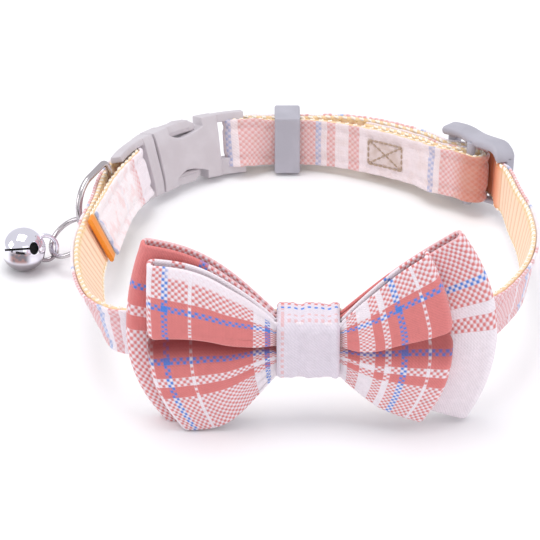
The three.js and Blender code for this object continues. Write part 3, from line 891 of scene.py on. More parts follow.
@dataclass(frozen=True)
class PlatedMetal:
    """Bright plated metal with fine scratches.

    Attributes:
        name: the material's name.
        colour: its bright colour.
        roughness: the least roughness.
        ball: a bell's middle in metres; a bell has painted shade on its lower side and a painted
            dark reflection round its slot.
            painted_lower_shade, painted_dark_reflection, painted_warm_shade: the colours of the
            painted shade on a bell's lower side and of its painted reflection band.
    """

    name: str
    colour: tuple
    roughness: float
    ball: tuple | None = None
    painted_lower_shade: tuple = tint(160, 152, 156)
    painted_dark_reflection: tuple = tint(74, 66, 72)
    painted_warm_shade: tuple = tint(140, 92, 78)

    def make(self) -> bpy.types.Material:
        """Makes the material."""
        dress = Dress(self.name)
        scratch = dress.noise(2600.0, 4.0)
        haze = dress.noise(300.0)
        colour = dress.shade(self.colour, 0.94 + haze * 0.1)
        if self.ball is not None:
            parts = dress.add("ShaderNodeSeparateXYZ", {}, {0: dress.place()})
            x, z = (Term(dress, parts.outputs[k]) - float(self.ball[k]) for k in (0, 2))
            # Painted shade: the bell is greyer on its lower side.
            colour = dress.mix(z.until(-1.6, -0.6) * 0.95, colour, self.painted_lower_shade)
            # A painted dark reflection in a band round the slot.
            band = z.within(-1.3, -0.3, 1.0, 1.7)
            inner = x.within(-2.9, -1.7, 0.6, 2.0)
            painted_reflection = dress.mix(dress.noise(900.0).between(0.42, 0.58), self.painted_dark_reflection, self.painted_warm_shade)
            colour = dress.mix(band * inner * 0.85, colour, painted_reflection)
        rough = self.roughness + scratch.between(0.5, 0.8) * 0.08 + haze * 0.03
        normal = dress.relief(scratch, 0.004)
        return dress.close(colour, rough, normal, {"Metallic": 1.0})


# ---------------------------------------------------------------- strap


def dressed(piece: bpy.types.Object, material: bpy.types.Material) -> bpy.types.Object:
    """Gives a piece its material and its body.

    Args:
        piece: the finished piece.
        material: its only material.

    Returns:
        The piece.
    """
    piece.data.materials.clear()
    piece.data.materials.append(material)
    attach(piece, "root")
    LOG.info("%s: %d faces", piece.name, len(piece.data.polygons))
    return piece


@dataclass
class Strap:
    """Ribbed webbing with a plaid cover sewn on its outer face, threaded as one strip.

    Attributes:
        webbing, cover: the two thicknesses.
        seam: half the slit between them.
        half_width: half the strap's width.
        rib: the pitch of the ribs.
        rib_depth: how far the ribs stand up.
        sealed: the length of bare, sealed webbing past the cover's end.
        pitch: the spacing of the cover's threads.
        stitch, stitch_row: the length of a stitch, and how far its row lies from the middle.
        box: half the length and half the height of the crossed box of stitches.
        loop: the spacing of the loops of edge thread.
        slider_turn, box_at, blue_at: the places in plan of the turn round the slider's bar, of the
            crossed box, and of a pair of blue threads.
        line: the frames of the route.
    """

    webbing: float = 0.85
    cover: float = 0.6
    seam: float = 0.05
    half_width: float = 4.9
    rib: float = 2.5
    rib_depth: float = 0.2
    sealed: float = 2.6
    pitch: float = 0.6
    stitch: float = 3.1
    stitch_row: float = 3.1
    box: tuple[float, float] = (3.9, 2.6)
    loop: float = 1.8
    slider_turn: tuple[float, float] = (33.2, 30.6)
    box_at: tuple[float, float] = (17.2, 41.0)
    blue_at: tuple[float, float] = (3.0, 45.4)
    line: Line = field(init=False)

    def __post_init__(self) -> None:
        """Works out the route at a tenth of a rib."""
        self.line = Line.along(StrapRoute().stations(), self.rib / 10)

    def section(self, face: float, back: float, count: int,
                half: float) -> tuple[np.ndarray, np.ndarray, np.ndarray]:
        """Makes a flat section with round edges.

        Args:
            face: how far outward the face that shows lies.
            back: how far outward the other side lies.
            count: the points across the face.
            half: half the width.

        Returns:
            The outward places, the width places, and 1 on the face or 0 elsewhere.
        """
        radius = abs(face - back) / 2
        flat = half - radius
        turn = np.radians([60, 30, 0, -30, -60])
        edge_n = (face + back) / 2 + math.copysign(radius, face - back) * np.sin(turn)
        edge_w = flat + radius * np.cos(turn)
        n = np.concatenate([np.full(count, face), edge_n, np.full(4, back), edge_n[::-1]])
        w = np.concatenate([np.linspace(-flat, flat, count), edge_w,
                            np.linspace(flat, -flat, 4), -edge_w[::-1]])
        return n, w, np.repeat([1.0, 0.0], [count, len(n) - count])

    def rings(self, part: slice, n: np.ndarray, w: np.ndarray) -> np.ndarray:
        """Returns section points on the frames of a part of the route."""
        line = self.line
        return (line.point[part, None] + line.out[part, None] * n[..., None]
                + line.width[part, None] * w[..., None])

    def coords(self, s: np.ndarray, n: np.ndarray, w: np.ndarray) -> np.ndarray:
        """Returns UV rows: length along, and width with the edges unrolled."""
        across = w + np.sign(w) * np.abs(n - n[len(n) // 4]) * (np.abs(w) > self.half_width - 0.6)
        rows = np.zeros((len(s), len(w) + 1, 2))
        rows[:, :, 0] = s[:, None]
        rows[:, :, 1] = np.append(across, across[0])[None]
        return rows * MM

    def make_webbing(self) -> bpy.types.Object:
        """Makes the webbing, with its ribs standing up on the face towards the neck."""
        near = -self.seam
        n, w, shows = self.section(near - self.webbing, near, 15, self.half_width - 0.1)
        ribs = np.sqrt(np.abs(np.sin(self.line.s * (math.pi / self.rib))))
        ribbed = shows * (1 - soft_step((np.abs(w) - 3.6) / 0.6))
        lift = self.rib_depth * ribs[:, None] * ribbed[None]
        points = self.rings(slice(None), n[None] - lift, np.broadcast_to(w, lift.shape))
        piece = sweep("webbing_strap", points, self.coords(self.line.s, n, w), closed=False)
        dressed(piece, RibbedWebbing().make(self.rib, self.sealed))
        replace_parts(piece, "webbing")
        return piece

    def make_cover(self) -> bpy.types.Object:
        """Makes the plaid cover, puckered along its two rows of stitches."""
        part = self.line.s >= self.sealed
        s = self.line.s[part]
        n, w, shows = self.section(self.seam + self.cover, self.seam, 21, self.half_width)
        rows = bump_at(np.abs(w), self.stitch_row, 0.55)
        pull = 0.5 + 0.5 * np.cos(2 * math.pi * s / self.stitch)
        drift = 0.5 + 0.5 * np.sin(s * 0.9) * np.sin(s * 0.23)
        sink = (0.16 + 0.26 * pull + 0.12 * drift)[:, None] * (rows * shows)[None]
        wave = 0.05 * np.sin(s * 1.7)[:, None] * (np.abs(w) > 4)[None] * np.sign(w)[None]
        points = self.rings(part, n[None] - sink, w[None] + wave)
        drawn = s - 3.5 * (1 - soft_step((s - 125) / 45))
        piece = sweep("plaid_strap_cover", points, self.coords(drawn, n, w), closed=False)
        cotton = PlaidCotton(
            "strap_plaid_cotton", STRAP_PLAID, table(Thread, (1, "white")),
            start=self.plaid_start(), pitch=self.pitch, rows=0.6, soft=0.6, calm=0.5,
            palette=Palette(blue=tint(132, 166, 222)))
        dressed(piece, cotton.make(self.aged_and_shaded))
        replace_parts(piece, "plaid_cover")
        return piece

    def aged_and_shaded(self, dress: Dress, cloth: object, length: Term, width: Term) -> object:
        """Colours the cover where it is folded, worn or sewn, and paints shade on it.

        It has painted warm shade round the slider's bar, is pale on the fold-over with a blue hem,
        has painted brown shade towards its far end and is worn in the crossed box of stitches.

        Args:
            dress: the material being made.
            cloth: the cover's colour so far.
            length, width: the place on the cover.

        Returns:
            The new colour.
        """
        turn = self.line.nearest(self.slider_turn, 200.0, 30.0)
        # Painted warm shade in the fold round the slider's bar.
        warm = length.within(turn - 3.2, turn + 1.0, turn + 3.0, turn + 6.0)
        cloth = dress.mix(warm * 0.7, cloth, tint(190, 96, 58))
        pale = length.until(22.5, 26.5)
        lumps = dress.noise(420.0).between(0.46, 0.66)
        pale = pale * 0.88
        lining = dress.mix(lumps * 0.7, tint(250, 243, 245), tint(244, 214, 214))
        cloth = dress.mix(pale, cloth, lining)
        hem = length.until(self.sealed - 3.3, self.sealed - 2.4)
        cloth = dress.mix(hem * lumps.between(-0.4, 0.6) * 0.7, cloth, tint(150, 176, 220))
        # Painted brown shade towards the far end.
        brown = length.past(296, 322) * (0.2 + lumps * 0.12)
        cloth = dress.mix(brown, cloth, tint(206, 170, 150))
        long, tall = self.box
        away = (length - self.box_middle() * MM).abs()
        worn = away.until(long, long + 0.6) * width.abs().until(tall, tall + 0.4)
        return dress.mix(worn * (0.35 + lumps * 0.2), cloth, tint(186, 162, 144))

    def box_middle(self) -> float:
        """Returns the length at which the crossed box of stitches has its middle."""
        return self.line.nearest(self.box_at, 300.0, 40.0)

    def plaid_start(self) -> float:
        """Returns the stripe at which the cover starts, from where its blue pair shows."""
        seen = self.line.nearest(self.blue_at, 300.0, 45.0) / self.pitch
        return (1 - seen) % sum(row.count for row in STRAP_PLAID)

    def edge_frames(self, side: int, rng: random.Random) -> list[np.ndarray]:
        """Returns the axes and middles of the loops of edge thread on one edge."""
        frames = []
        face = -self.seam - self.webbing
        for k in range(int((self.line.s[-1] - 2.4) / self.loop)):
            s = 2.2 + (k + 0.5) * self.loop
            middle = self.line.at(s, face + 0.30, side * (self.half_width - 0.34))
            along = unit(self.line.at(s + 0.4, 0, 0) - self.line.at(s - 0.4, 0, 0))
            here = self.line.at(s, 0, 0)
            out, up = (unit(self.line.at(s, *way) - here) for way in ((1, 0), (0, 1)))
            lean = math.radians(24 + rng.uniform(-7, 7)) * side
            first = along * math.cos(lean) + up * math.sin(lean)
            second = up * math.cos(lean) - along * math.sin(lean)
            size = 1 + rng.uniform(-0.08, 0.08)
            axes = (first * 0.74 * size, second * 0.36 * size, out * 0.42)
            frames.append(np.vstack([*axes, middle]))
        return frames

    def make_edges(self) -> list[bpy.types.Object]:
        """Makes the loops of cream thread on both edges and the gold thread that binds them."""
        rng = random.Random(11)
        frames = [row for side in SIDES for row in self.edge_frames(side, rng)]
        loops = copies("edge_loops", lozenge(8, 6), frames)
        cream = SewingThread("cream_edge_thread", tint(252, 243, 230)).make()
        pieces = [dressed(loops, cream)]
        gold = SewingThread("gold_edge_thread", tint(226, 190, 130)).make()
        face = -self.seam - self.webbing
        inner, outer = (face - 0.02, self.half_width - 0.85), (face + 0.35, self.half_width + 0.04)
        for side, name in zip(SIDES, ("gold_thread_low", "gold_thread_high")):
            path = []
            for k in range(int((self.line.s[-1] - 3.2) / (self.loop / 2))):
                n, w = outer if k % 2 else inner
                path.append(self.line.at(2.4 + k * self.loop / 2, n, side * w))
            piece = thread_tube(name, through(np.array(path), 4), 0.12)
            pieces.append(dressed(piece, gold))
        return pieces

    def make_box_stitch(self) -> bpy.types.Object:
        """Makes the crossed box of stitches that holds the end sewn at the slider."""
        inner = self.box_middle()
        face = self.seam + self.cover
        long, tall = self.box
        a, b, c, d = np.array([(-long, -tall), (long, -tall), (long, tall), (-long, tall)])
        frames = []
        for start, end in ((a, b), (b, c), (c, d), (d, a), (a, c), (b, d)):
            count = max(3, int(np.linalg.norm(end - start) / 1.1))
            for k in range(count):
                place, ahead = (start + (end - start) * (k + part) / count for part in (0.5, 0.6))
                middle = self.line.at(inner + place[0], face + 0.04, place[1])
                first = unit(self.line.at(inner + ahead[0], face + 0.04, ahead[1]) - middle)
                out = unit(self.line.at(inner + place[0], face + 1, place[1]) - middle)
                second = unit(np.cross(out, first))
                frames.append(np.vstack([first * 0.56, second * 0.24, out * 0.2, middle]))
        piece = copies("box_stitches", lozenge(6, 4), frames)
        return dressed(piece, SewingThread("taupe_thread", tint(176, 152, 132)).make())


# ---------------------------------------------------------------- bow


KNOT_HALF = 5.65
KNOT_SHIFT = 1.0
BOW_RISE = 0.2


class Wing(NamedTuple):
    """One wing of a bow: distances from the knot and angles of its corners, in degrees."""

    top: float
    top_angle: float
    middle: float
    bottom: float
    bottom_angle: float
    bulge: float


@dataclass(frozen=True)
class BowShape:
    """The sizes of one bow of the pair.

    Attributes:
        level: 0 for the bow on the strap, 1 for the one on top of it.
        lift: how far the wing tips rise.
        rear_open, front_open: how far the two layers stand open past the knot.
        puff: how far the lobes of the front layer swell.
        left, right: the two wings.
        half_pinch: half the height of the cloth in the knot.
        opening: how far past the knot the layers are fully open.
    """

    level: int
    lift: float
    rear_open: float
    front_open: float
    puff: float
    left: Wing
    right: Wing
    half_pinch: float = 5.4
    opening: float = 9.0

    @property
    def folded(self) -> bool:
        """Returns whether the front layer is folded into two lobes."""
        return self.puff > 0.5


@dataclass
class Bow:
    """A band of plaid cloth pinched in the middle, open at the top and bottom of both wings.

    Attributes:
        name: the piece's name.
        node: the plain body that it stands for.
        shape: its sizes.
        cloth: its material.
        wall: the cloth's thickness.
        step: the spacing of the layers in the knot.
        first_layer: how far outward the rearmost layer lies there.
        play: the gap between the knot and the first row of the cloth.
        crease: the fan place of the crease between the lobes.
        measured: how far out the band's width is measured.
        swells: how far the upper and the lower lobe stand out.
        rises: how far the crease rises on the left and on the right.
        gather, ripple: the depth of the pleats at the knot and of the waves further out.
        dark: the colour of the shaded crease.
    """

    name: str
    node: str
    shape: BowShape
    cloth: PlaidCotton
    wall: float = 0.62
    step: float = 1.25
    first_layer: float = 1.8
    play: float = 0.3
    crease: float = 0.14
    measured: float = 0.75
    swells: tuple[float, float] = (2.1, 1.25)
    rises: tuple[float, float] = (2.3, 1.3)
    gather: float = 0.34
    ripple: float = 0.16
    dark: tuple = tint(116, 32, 34)

    def edge(self, wing: Wing, q: np.ndarray) -> tuple[np.ndarray, np.ndarray]:
        """Returns the outer fold of a wing at fan places q from -1 to 1."""
        corner = np.where(q > 0, wing.top, wing.bottom)
        angle = np.radians(np.where(q > 0, wing.top_angle, wing.bottom_angle) * q)
        reach = wing.middle + (corner - wing.middle) * q**2
        return reach * np.cos(angle), reach * np.sin(angle)

    def turns(self) -> list[tuple[float, float]]:
        """Returns the places round a wing: how far out, and 1 in front to 0 at the rear."""
        along, fold, start = 44, 12, 0.955
        out = [(start * i / along, 1.0) for i in range(along + 1)]
        bend = []
        for k in range(1, fold):
            turn = math.pi * k / fold
            bend.append((start + (1 - start) * math.sin(turn), 0.5 + 0.5 * math.cos(turn)))
        return [*out, *bend, *((r, 0.0) for r, _ in reversed(out))]

    def fan(self) -> np.ndarray:
        """Returns the places across the band, closest together at the crease."""
        t = np.linspace(-1, 1, 73)
        q = t - 0.72 * (t - t**3) * np.exp(-((t / 0.75) ** 2))
        return q + self.crease * (1 - q**2)

    def swell(self, r: float, q: np.ndarray) -> tuple[np.ndarray, np.ndarray]:
        """Returns how far the front layer stands out and drops where the upper lobe laps over."""
        fade = (1 - math.exp(-r / 0.12)) * (1 - 0.5 * r**6)
        above = (q - self.crease) / (1 - self.crease)
        below = (self.crease - q) / (1 + self.crease)
        upper = self.swells[0] * soft_step(above / 0.10) * (1 - 0.62 * np.clip(above, 0, 1) ** 2.4)
        lower = self.swells[1] * soft_step(below / 0.5) * (1 - 0.6 * np.clip(below, 0, 1) ** 3)
        over, under = bump_at(q, self.crease + 0.075, 0.05), bump_at(q, self.crease - 0.01, 0.04)
        return fade * (upper + lower - 0.95), fade * (1.5 * under - 0.9 * over)

    def risen(self, side: int, r: float, q: np.ndarray) -> np.ndarray:
        """Returns how far the cloth round the crease rises above a straight line, a way r out."""
        if side < 0:
            height = self.rises[0] * math.sin(math.pi * min(1.0, r) ** 1.2) ** 0.9
        else:
            height = self.rises[1] * float(soft_step(r / 0.6))
        return height * bump_at(q, self.crease + 0.03, 0.2)

    def row(self, side: int, r: float, layer: float, q: np.ndarray) -> np.ndarray:
        """Returns the cloth's middle line across the band at one place of a turn.

        Args:
            side: -1 on the left wing, 1 on the right.
            r: how far out, 0 at the knot to 1 at the outer fold.
            layer: 1 on the front layer to 0 on the rear.
            q: the fan places.

        Returns:
            A row of points in the bow's frame.
        """
        shape = self.shape
        wing = shape.left if side < 0 else shape.right
        x0 = KNOT_HALF + self.play + side * KNOT_SHIFT
        end_x, end_z = self.edge(wing, q)
        end_x = end_x - shape.folded * 1.1 * bump_at(q, self.crease, 0.06)
        x = x0 + (end_x - x0) * r
        bulge = wing.bulge * math.sin(math.pi * r) * q * np.abs(q)
        pinched = shape.half_pinch * (q - (0.0 if shape.folded else 0.1) * (1 - q**2))
        z = pinched * (1 - r) + end_z * r + bulge + shape.lift * r
        opened = soft_step((x - KNOT_HALF) / shape.opening)
        rear = self.first_layer + 2 * shape.level * self.step + shape.rear_open * opened
        gap = self.step + shape.front_open * opened
        out, drop = self.swell(r, q)
        near = math.exp(-((r / 0.25) ** 2)) * min(1.0, 6 * r)
        gather = self.gather * np.cos(q * 17 + side) * near * (1 + (q < self.crease))
        wave = np.sin(q * 5.5 + side * 2 + shape.level) * math.sin(math.pi * min(1.0, r))
        n = rear + layer * (gap + shape.puff * out + np.abs(gather))
        n = n + self.ripple * wave * (layer - 0.5) * 0.8
        z = z + layer * shape.folded * (drop + self.risen(side, r, q))
        return np.stack([side * x, -n, z + BOW_RISE], axis=-1)

    def across(self, q: np.ndarray) -> np.ndarray:
        """Returns the lengths across the band from its crease, measured over both lobes."""
        row = self.row(-1, self.measured, 1.0, q)
        row[:, 2] -= self.shape.folded * self.risen(-1, self.measured, q)
        v = lengths(row)
        return v - np.interp(self.crease, q, v)

    def shaded(self, dress: Dress, cloth: object, length: Term, width: Term) -> object:
        """Leaves the top of the left wing plain and paints shade into the crease between the lobes.

        Args:
            dress: the material being made.
            cloth: the bow's colour so far.
            length, width: the place on the bow, from the knot's middle and from the crease.

        Returns:
            The new colour.
        """
        high = float(self.across(self.fan())[-1])
        hem = width.past(high - 2.1, high - 1.3)
        left = length.until(-8.6, -6.6)
        inner = length.past(-27.5, -26.2)
        cloth = dress.mix(hem * left * inner * 0.92, cloth, self.cloth.palette.white)
        # Painted shade below the crease, stronger on the left wing.
        deep = width.within(-7.2, -2.8, -0.2, 1.4)
        deep = deep * (0.92 - length.past(-6.0, 6.0) * 0.4)
        return dress.mix(deep, cloth, self.dark)

    def thickened(self, rows: np.ndarray) -> np.ndarray:
        """Gives the closed row of middle lines a wall with rolled hems.

        Args:
            rows: turns by places across by 3.

        Returns:
            Rings round the wall.
        """
        along = np.roll(rows, -1, axis=0) - np.roll(rows, 1, axis=0)
        up = np.gradient(rows, axis=1)
        normal = unit(np.cross(along, up))
        side = unit(np.cross(normal, unit(along)))
        thicker = 1 + 0.25 * soft_step((np.abs(self.fan()) - 0.93) / 0.04)
        half = self.wall / 2 * thicker[None, :, None]
        outside, inside = rows + normal * half, rows - normal * half
        turn = np.radians([50, 0, -50])[None, :, None]
        way = 1.0 if np.sum(side[:, -1] * up[:, -1]) >= 0 else -1.0
        hems = []
        for last in (-1, 0):
            outer = side[:, last, None] * (way if last else -way)
            curl = normal[:, last, None] * np.sin(turn) + outer * np.cos(turn)
            hems.append(rows[:, last, None] + half[:, last, None] * curl)
        return np.concatenate([outside, hems[0], inside[:, ::-1], hems[1][:, ::-1]], axis=1)

    def make(self, seat: Callable[[np.ndarray], np.ndarray]) -> bpy.types.Object:
        """Makes the bow.

        Args:
            seat: turns points of the bow's frame into the collar's.

        Returns:
            The piece.
        """
        q = self.fan()
        turns = self.turns()
        stops = [(1, turn) for turn in turns] + [(-1, turn) for turn in reversed(turns)]
        rows = np.array([self.row(side, r, layer, q) for side, (r, layer) in stops])
        rings = self.thickened(rows)
        middle = rows[:, len(q) // 2]
        length = lengths(middle)
        first = middle[0, 0]
        on_right = np.arange(len(stops)) < len(turns)
        u = np.where(on_right, length + first, length - length[-1] - first)
        v = self.across(q)
        low, high = v[0], v[-1]
        v = np.concatenate([v, [high + 0.3] * 3, v[::-1], [low - 0.3] * 3, [low]])
        uv = np.zeros((len(rings) + 1, rings.shape[1] + 1, 2))
        uv[:, :, 0] = np.append(u, u[0])[:, None]
        uv[:, :, 1] = v[None]
        piece = sweep(self.name, seat(rings), uv * MM, closed=True)
        dressed(piece, self.cloth.make(self.shaded if self.shape.level else None))
        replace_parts(piece, self.node)
        return piece


KNOT_ROWS = table(
    Thread,
    (4, "pink"), (48, "white"), (1, "blush"), (1, "white"), (1, "blush"), (3, "white"),
    (1, "blue"), (1, "white"),
)
KNOT_COLUMNS = table(Thread, (1, "blush"), (23, "white"))


@dataclass
class Knot:
    """The band of plaid cloth that gathers both bows on the strap.

    Attributes:
        back, front: how far outward its inner sides lie.
        half_height: half its inner height.
        wall: its thickness.
        corner: the radius of its inner corners.
    """

    back: float = -1.4
    front: float = 6.3
    half_height: float = 5.6
    wall: float = 0.8
    corner: float = 2.0

    def outline(self) -> tuple[np.ndarray, np.ndarray]:
        """Returns a rounded rectangle of (outward, up) points and its unit normals."""
        middle, depth = (self.front + self.back) / 2, (self.front - self.back) / 2
        reach, rise = depth - self.corner, self.half_height - self.corner
        centres = np.array([(reach, rise), (-reach, rise), (-reach, -rise), (reach, -rise)])
        rows, normals = [], []
        for k, centre in enumerate(centres):
            ahead = centres[(k + 1) % 4] - centre
            corner = [(centre, angle) for angle in np.linspace(90 * k, 90 * (k + 1), 9)]
            side = [(centre + ahead * t, 90 * (k + 1)) for t in np.linspace(0, 1, 12)[1:-1]]
            for at, angle in (*corner, *side):
                normal = np.array([math.cos(math.radians(angle)), math.sin(math.radians(angle))])
                rows.append(at + normal * self.corner + np.array([middle, 0]))
                normals.append(normal)
        return np.array(rows), np.array(normals)

    def make(self, seat: Callable[[np.ndarray], np.ndarray]) -> bpy.types.Object:
        """Makes the knot, with soft upright folds.

        Args:
            seat: turns points of the bow's frame into the collar's.

        Returns:
            The piece.
        """
        inner, normals = self.outline()
        x = np.linspace(-1, 1, 41)
        folds = 0.16 * np.sin(x * 7.5 + 0.6) + 0.10 * np.sin(x * 14 + 2.0) - 0.12
        curl = -0.35 * soft_step((np.abs(x) - 0.88) / 0.12) ** 2
        length = lengths(inner)
        total = length[-1] + np.linalg.norm(inner[0] - inner[-1])
        crown = 0.22 * np.sin(4 * math.pi * length / total + 0.4)
        across = np.concatenate([x, [1, 0, -1]]) * KNOT_HALF + KNOT_SHIFT
        out = self.wall + folds[None] * (1 + 0.3 * crown[:, None]) + curl[None]
        out = np.hstack([out, np.zeros((len(inner), 3))])
        places = inner[:, None] + normals[:, None] * out[..., None]
        sideways = np.broadcast_to(across, out.shape)
        rings = np.stack([sideways, -places[..., 0], places[..., 1] + BOW_RISE], axis=-1)
        uv = np.zeros((len(rings) + 1, rings.shape[1] + 1, 2))
        uv[:, :, 0] = np.append(length, total)[:, None]
        uv[:, :, 1] = np.concatenate([x * KNOT_HALF, [6.2, 0, -6.2], [-KNOT_HALF]])[None]
        piece = sweep("knot_band", seat(rings), uv * MM, closed=True)
        # The knot's white is a little darker than the bows' white: painted shade.
        cotton = PlaidCotton(
            "knot_plaid_cotton", KNOT_ROWS, KNOT_COLUMNS, start=-11.2, first=8.2, pitch=0.6,
            rows=0.6, palette=Palette(white=tint(230, 221, 231)))
        dressed(piece, cotton.make())
        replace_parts(piece, "bow_knot")
        return piece


FRONT_ROWS = table(
    Thread,
    (20, "white"), (4, "pink"), (3, "white"), (4, "pink"), (2, "blue"), (25, "pink"), (2, "blue"),
    (2, "pink"), (50, "white"),
)
BACK_COLUMNS = table(
    Thread,
    (22, "pink"), (2, "blue"), (42, "white"), (25, "pink"), (2, "blue"), (60, "white"),
)
BACK_ROWS = table(
    Thread,
    (40, "white"), (4, "pink"), (3, "white"), (5, "pink"), (2, "blue"), (60, "pink"),
)


@dataclass
class BowPair:
    """The two bows and their knot, seated on the strap at the front of the loop.

    Attributes:
        y, z: where their frame's origin lies in the collar's frame.
        lean: how far they lean outward at the top, in degrees.
    """

    y: float = -43.3
    z: float = 1.2
    lean: float = 6.0

    def seat(self, points: np.ndarray) -> np.ndarray:
        """Returns points of the bow's frame in the collar's."""
        return tipped(points, -self.lean) + np.array([0.0, self.y, self.z])

    def back(self) -> Bow:
        """Returns the bow that lies on the strap."""
        left = Wing(34.0, 33.5, 31.4, 30.6, 36.0, 3.5)
        right = Wing(34.8, 37.0, 34.6, 34.4, 30.0, 1.0)
        shape = BowShape(0, 1.8, 0.0, 1.2, 0.0, left, right)
        cloth = PlaidCotton("back_bow_plaid_cotton", BACK_COLUMNS, BACK_ROWS, start=61.0,
                            first=41.2, pitch=0.573, soft=0.5)
        return Bow("bow_back_cloth", "bow_back", shape, cloth)

    def front(self) -> Bow:
        """Returns the smaller bow on top."""
        left = Wing(32.1, 32.2, 27.4, 27.4, 38.5, 3.6)
        right = Wing(29.2, 41.6, 26.6, 26.4, 35.0, 1.4)
        shape = BowShape(1, 1.4, 1.3, 1.3, 1.6, left, right)
        cloth = PlaidCotton("front_bow_plaid_cotton", PLAID, FRONT_ROWS, start=48.3, first=41.5,
                            pitch=0.573, rows=0.6, soft=0.5, skew=2.7)
        return Bow("bow_front_cloth", "bow_front", shape, cloth)

    def make(self) -> None:
        """Makes both bows and the knot."""
        for piece in (self.back(), self.front(), Knot()):
            piece.make(self.seat)


# ---------------------------------------------------------------- moulded and metal pieces


FACING = 0.9
BAR_RADIUS = 0.95
BEND_STEP = 1.1
SMOOTH_ANGLE = math.radians(40)
UPRIGHT = (math.pi / 2, 0, 0)
FaceTest = Callable[[Vector, Vector], bool]
Triple = tuple[float, float, float]


class Axis(Enum):
    """An axis of a block's flat space: along the piece, outward, and up its width."""

    ALONG = 0
    OUT = 1
    UP = 2


def deselect() -> None:
    """Leaves nothing selected."""
    bpy.ops.object.select_all(action="DESELECT")


def to_mode(name: str) -> None:
    """Turns to "EDIT" or "OBJECT" mode."""
    bpy.ops.object.mode_set(mode=name)


class Block:
    """A moulded body shaped in flat space and then bent on its arc, in millimetres."""

    def __init__(self, scale: Sequence[float] = (1.0, 1.0, 1.0)) -> None:
        """Takes up the body that was just added, at a scale on its own axes."""
        self.object = bpy.context.object
        self.object.scale = scale
        bpy.ops.object.transform_apply(location=True, rotation=True, scale=True)

    @classmethod
    def box(cls, low: Triple, high: Triple) -> "Block":
        """Adds a box between two corners of (along, outward, up)."""
        deselect()
        bpy.ops.mesh.primitive_cube_add(size=1, location=[(a + b) / 2 for a, b in zip(low, high)])
        return cls([b - a for a, b in zip(low, high)])

    @classmethod
    def bar(cls, s: float, n: float, half: float) -> "Block":
        """Adds a round bar across the strap, at a place along and outward."""
        deselect()
        bpy.ops.mesh.primitive_cylinder_add(
            vertices=20, radius=BAR_RADIUS, depth=2 * half, location=(s, n, 0))
        return cls()

    @classmethod
    def ball(cls, radius: float, segments: int = 48, turn: float = 0.0) -> "Block":
        """Adds a ball about the origin, turned about Y."""
        deselect()
        bpy.ops.mesh.primitive_uv_sphere_add(
            segments=segments, ring_count=segments // 2, radius=radius, rotation=(0, turn, 0))
        return cls()

    def active(self) -> None:
        """Selects the block alone."""
        deselect()
        self.object.select_set(True)
        bpy.context.view_layer.objects.active = self.object

    def slice(self, axis: Axis, *places: float) -> "Block":
        """Cuts edges through the whole block, square to an axis."""
        self.active()
        to_mode("EDIT")
        for place in places:
            bpy.ops.mesh.select_all(action="SELECT")
            spot, normal = [0.0, 0.0, 0.0], [0.0, 0.0, 0.0]
            spot[axis.value], normal[axis.value] = place, 1.0
            bpy.ops.mesh.bisect(plane_co=spot, plane_no=normal, threshold=1e-5)
        to_mode("OBJECT")
        return self

    def choose(self, mode: str, parts: str, test: Callable[[object], bool]) -> None:
        """Enters edit mode with only the parts that pass a test selected.

        Args:
            mode: the kind of selection, "FACE" or "VERT".
            parts: the mesh's rows of such parts.
            test: takes one part.
        """
        self.active()
        to_mode("EDIT")
        bpy.ops.mesh.select_mode(type=mode)
        bpy.ops.mesh.select_all(action="DESELECT")
        to_mode("OBJECT")
        for part in getattr(self.object.data, parts):
            part.select = bool(test(part))
        to_mode("EDIT")

    def faces(self, test: FaceTest) -> None:
        """Enters edit mode with the faces selected whose middle and normal pass a test."""
        self.choose("FACE", "polygons", lambda face: test(face.center, face.normal))

    def pull(self, test: FaceTest, by: Triple) -> "Block":
        """Extrudes the faces that pass a test by a step."""
        self.faces(test)
        bpy.ops.mesh.extrude_region_move(TRANSFORM_OT_translate={"value": by})
        to_mode("OBJECT")
        return self

    def move(self, test: FaceTest, by: Triple) -> "Block":
        """Moves the faces that pass a test by a step."""
        self.faces(test)
        bpy.ops.transform.translate(value=by)
        to_mode("OBJECT")
        return self

    def edge_in(self, place: float, side: int, beyond: float, depth: float) -> "Block":
        """Draws the points of one long edge inward.

        Args:
            place: the points' place along the block.
            side: 1 for the upper edge, -1 for the lower.
            beyond: how far from the middle the points lie at least.
            depth: how far they move.
        """
        self.choose("VERT", "vertices",
                    lambda v: abs(v.co.x - place) < 0.01 and v.co.z * side > beyond)
        bpy.ops.transform.translate(value=(0, 0, -side * depth))
        to_mode("OBJECT")
        return self

    def bore(self, test: FaceTest) -> "Block":
        """Opens a hole between two sets of faces that pass a test."""
        self.faces(test)
        bpy.ops.mesh.bridge_edge_loops()
        to_mode("OBJECT")
        return self

    def add(self, other: "Block") -> "Block":
        """Joins another block into this one's mesh."""
        self.active()
        other.object.select_set(True)
        bpy.ops.object.join()
        return self

    def cut(self, tool: "Block") -> "Block":
        """Cuts a tool out of the block."""
        self.active()
        saw = self.object.modifiers.new("cut", "BOOLEAN")
        saw.operation, saw.solver, saw.object = "DIFFERENCE", "EXACT", tool.object
        bpy.ops.object.modifier_apply(modifier=saw.name)
        bpy.data.objects.remove(tool.object)
        return self

    def soften(self, width: float, segments: int = 3, angle: float = 30.0) -> "Block":
        """Rounds the sharp edges with a bevel."""
        self.active()
        bevel = self.object.modifiers.new("rounding", "BEVEL")
        bevel.width, bevel.segments = width, segments
        bevel.limit_method, bevel.angle_limit = "ANGLE", math.radians(angle)
        bpy.ops.object.modifier_apply(modifier=bevel.name)
        return self

    def slices(self, step: float = BEND_STEP) -> "Block":
        """Cuts edges at even steps along the block, so that it can bend."""
        places = [v.co.x for v in self.object.data.vertices]
        low, high = min(places), max(places)
        spans = int((high - low) / step) + 1
        return self.slice(Axis.ALONG, *(low + (high - low) * k / spans for k in range(1, spans)))

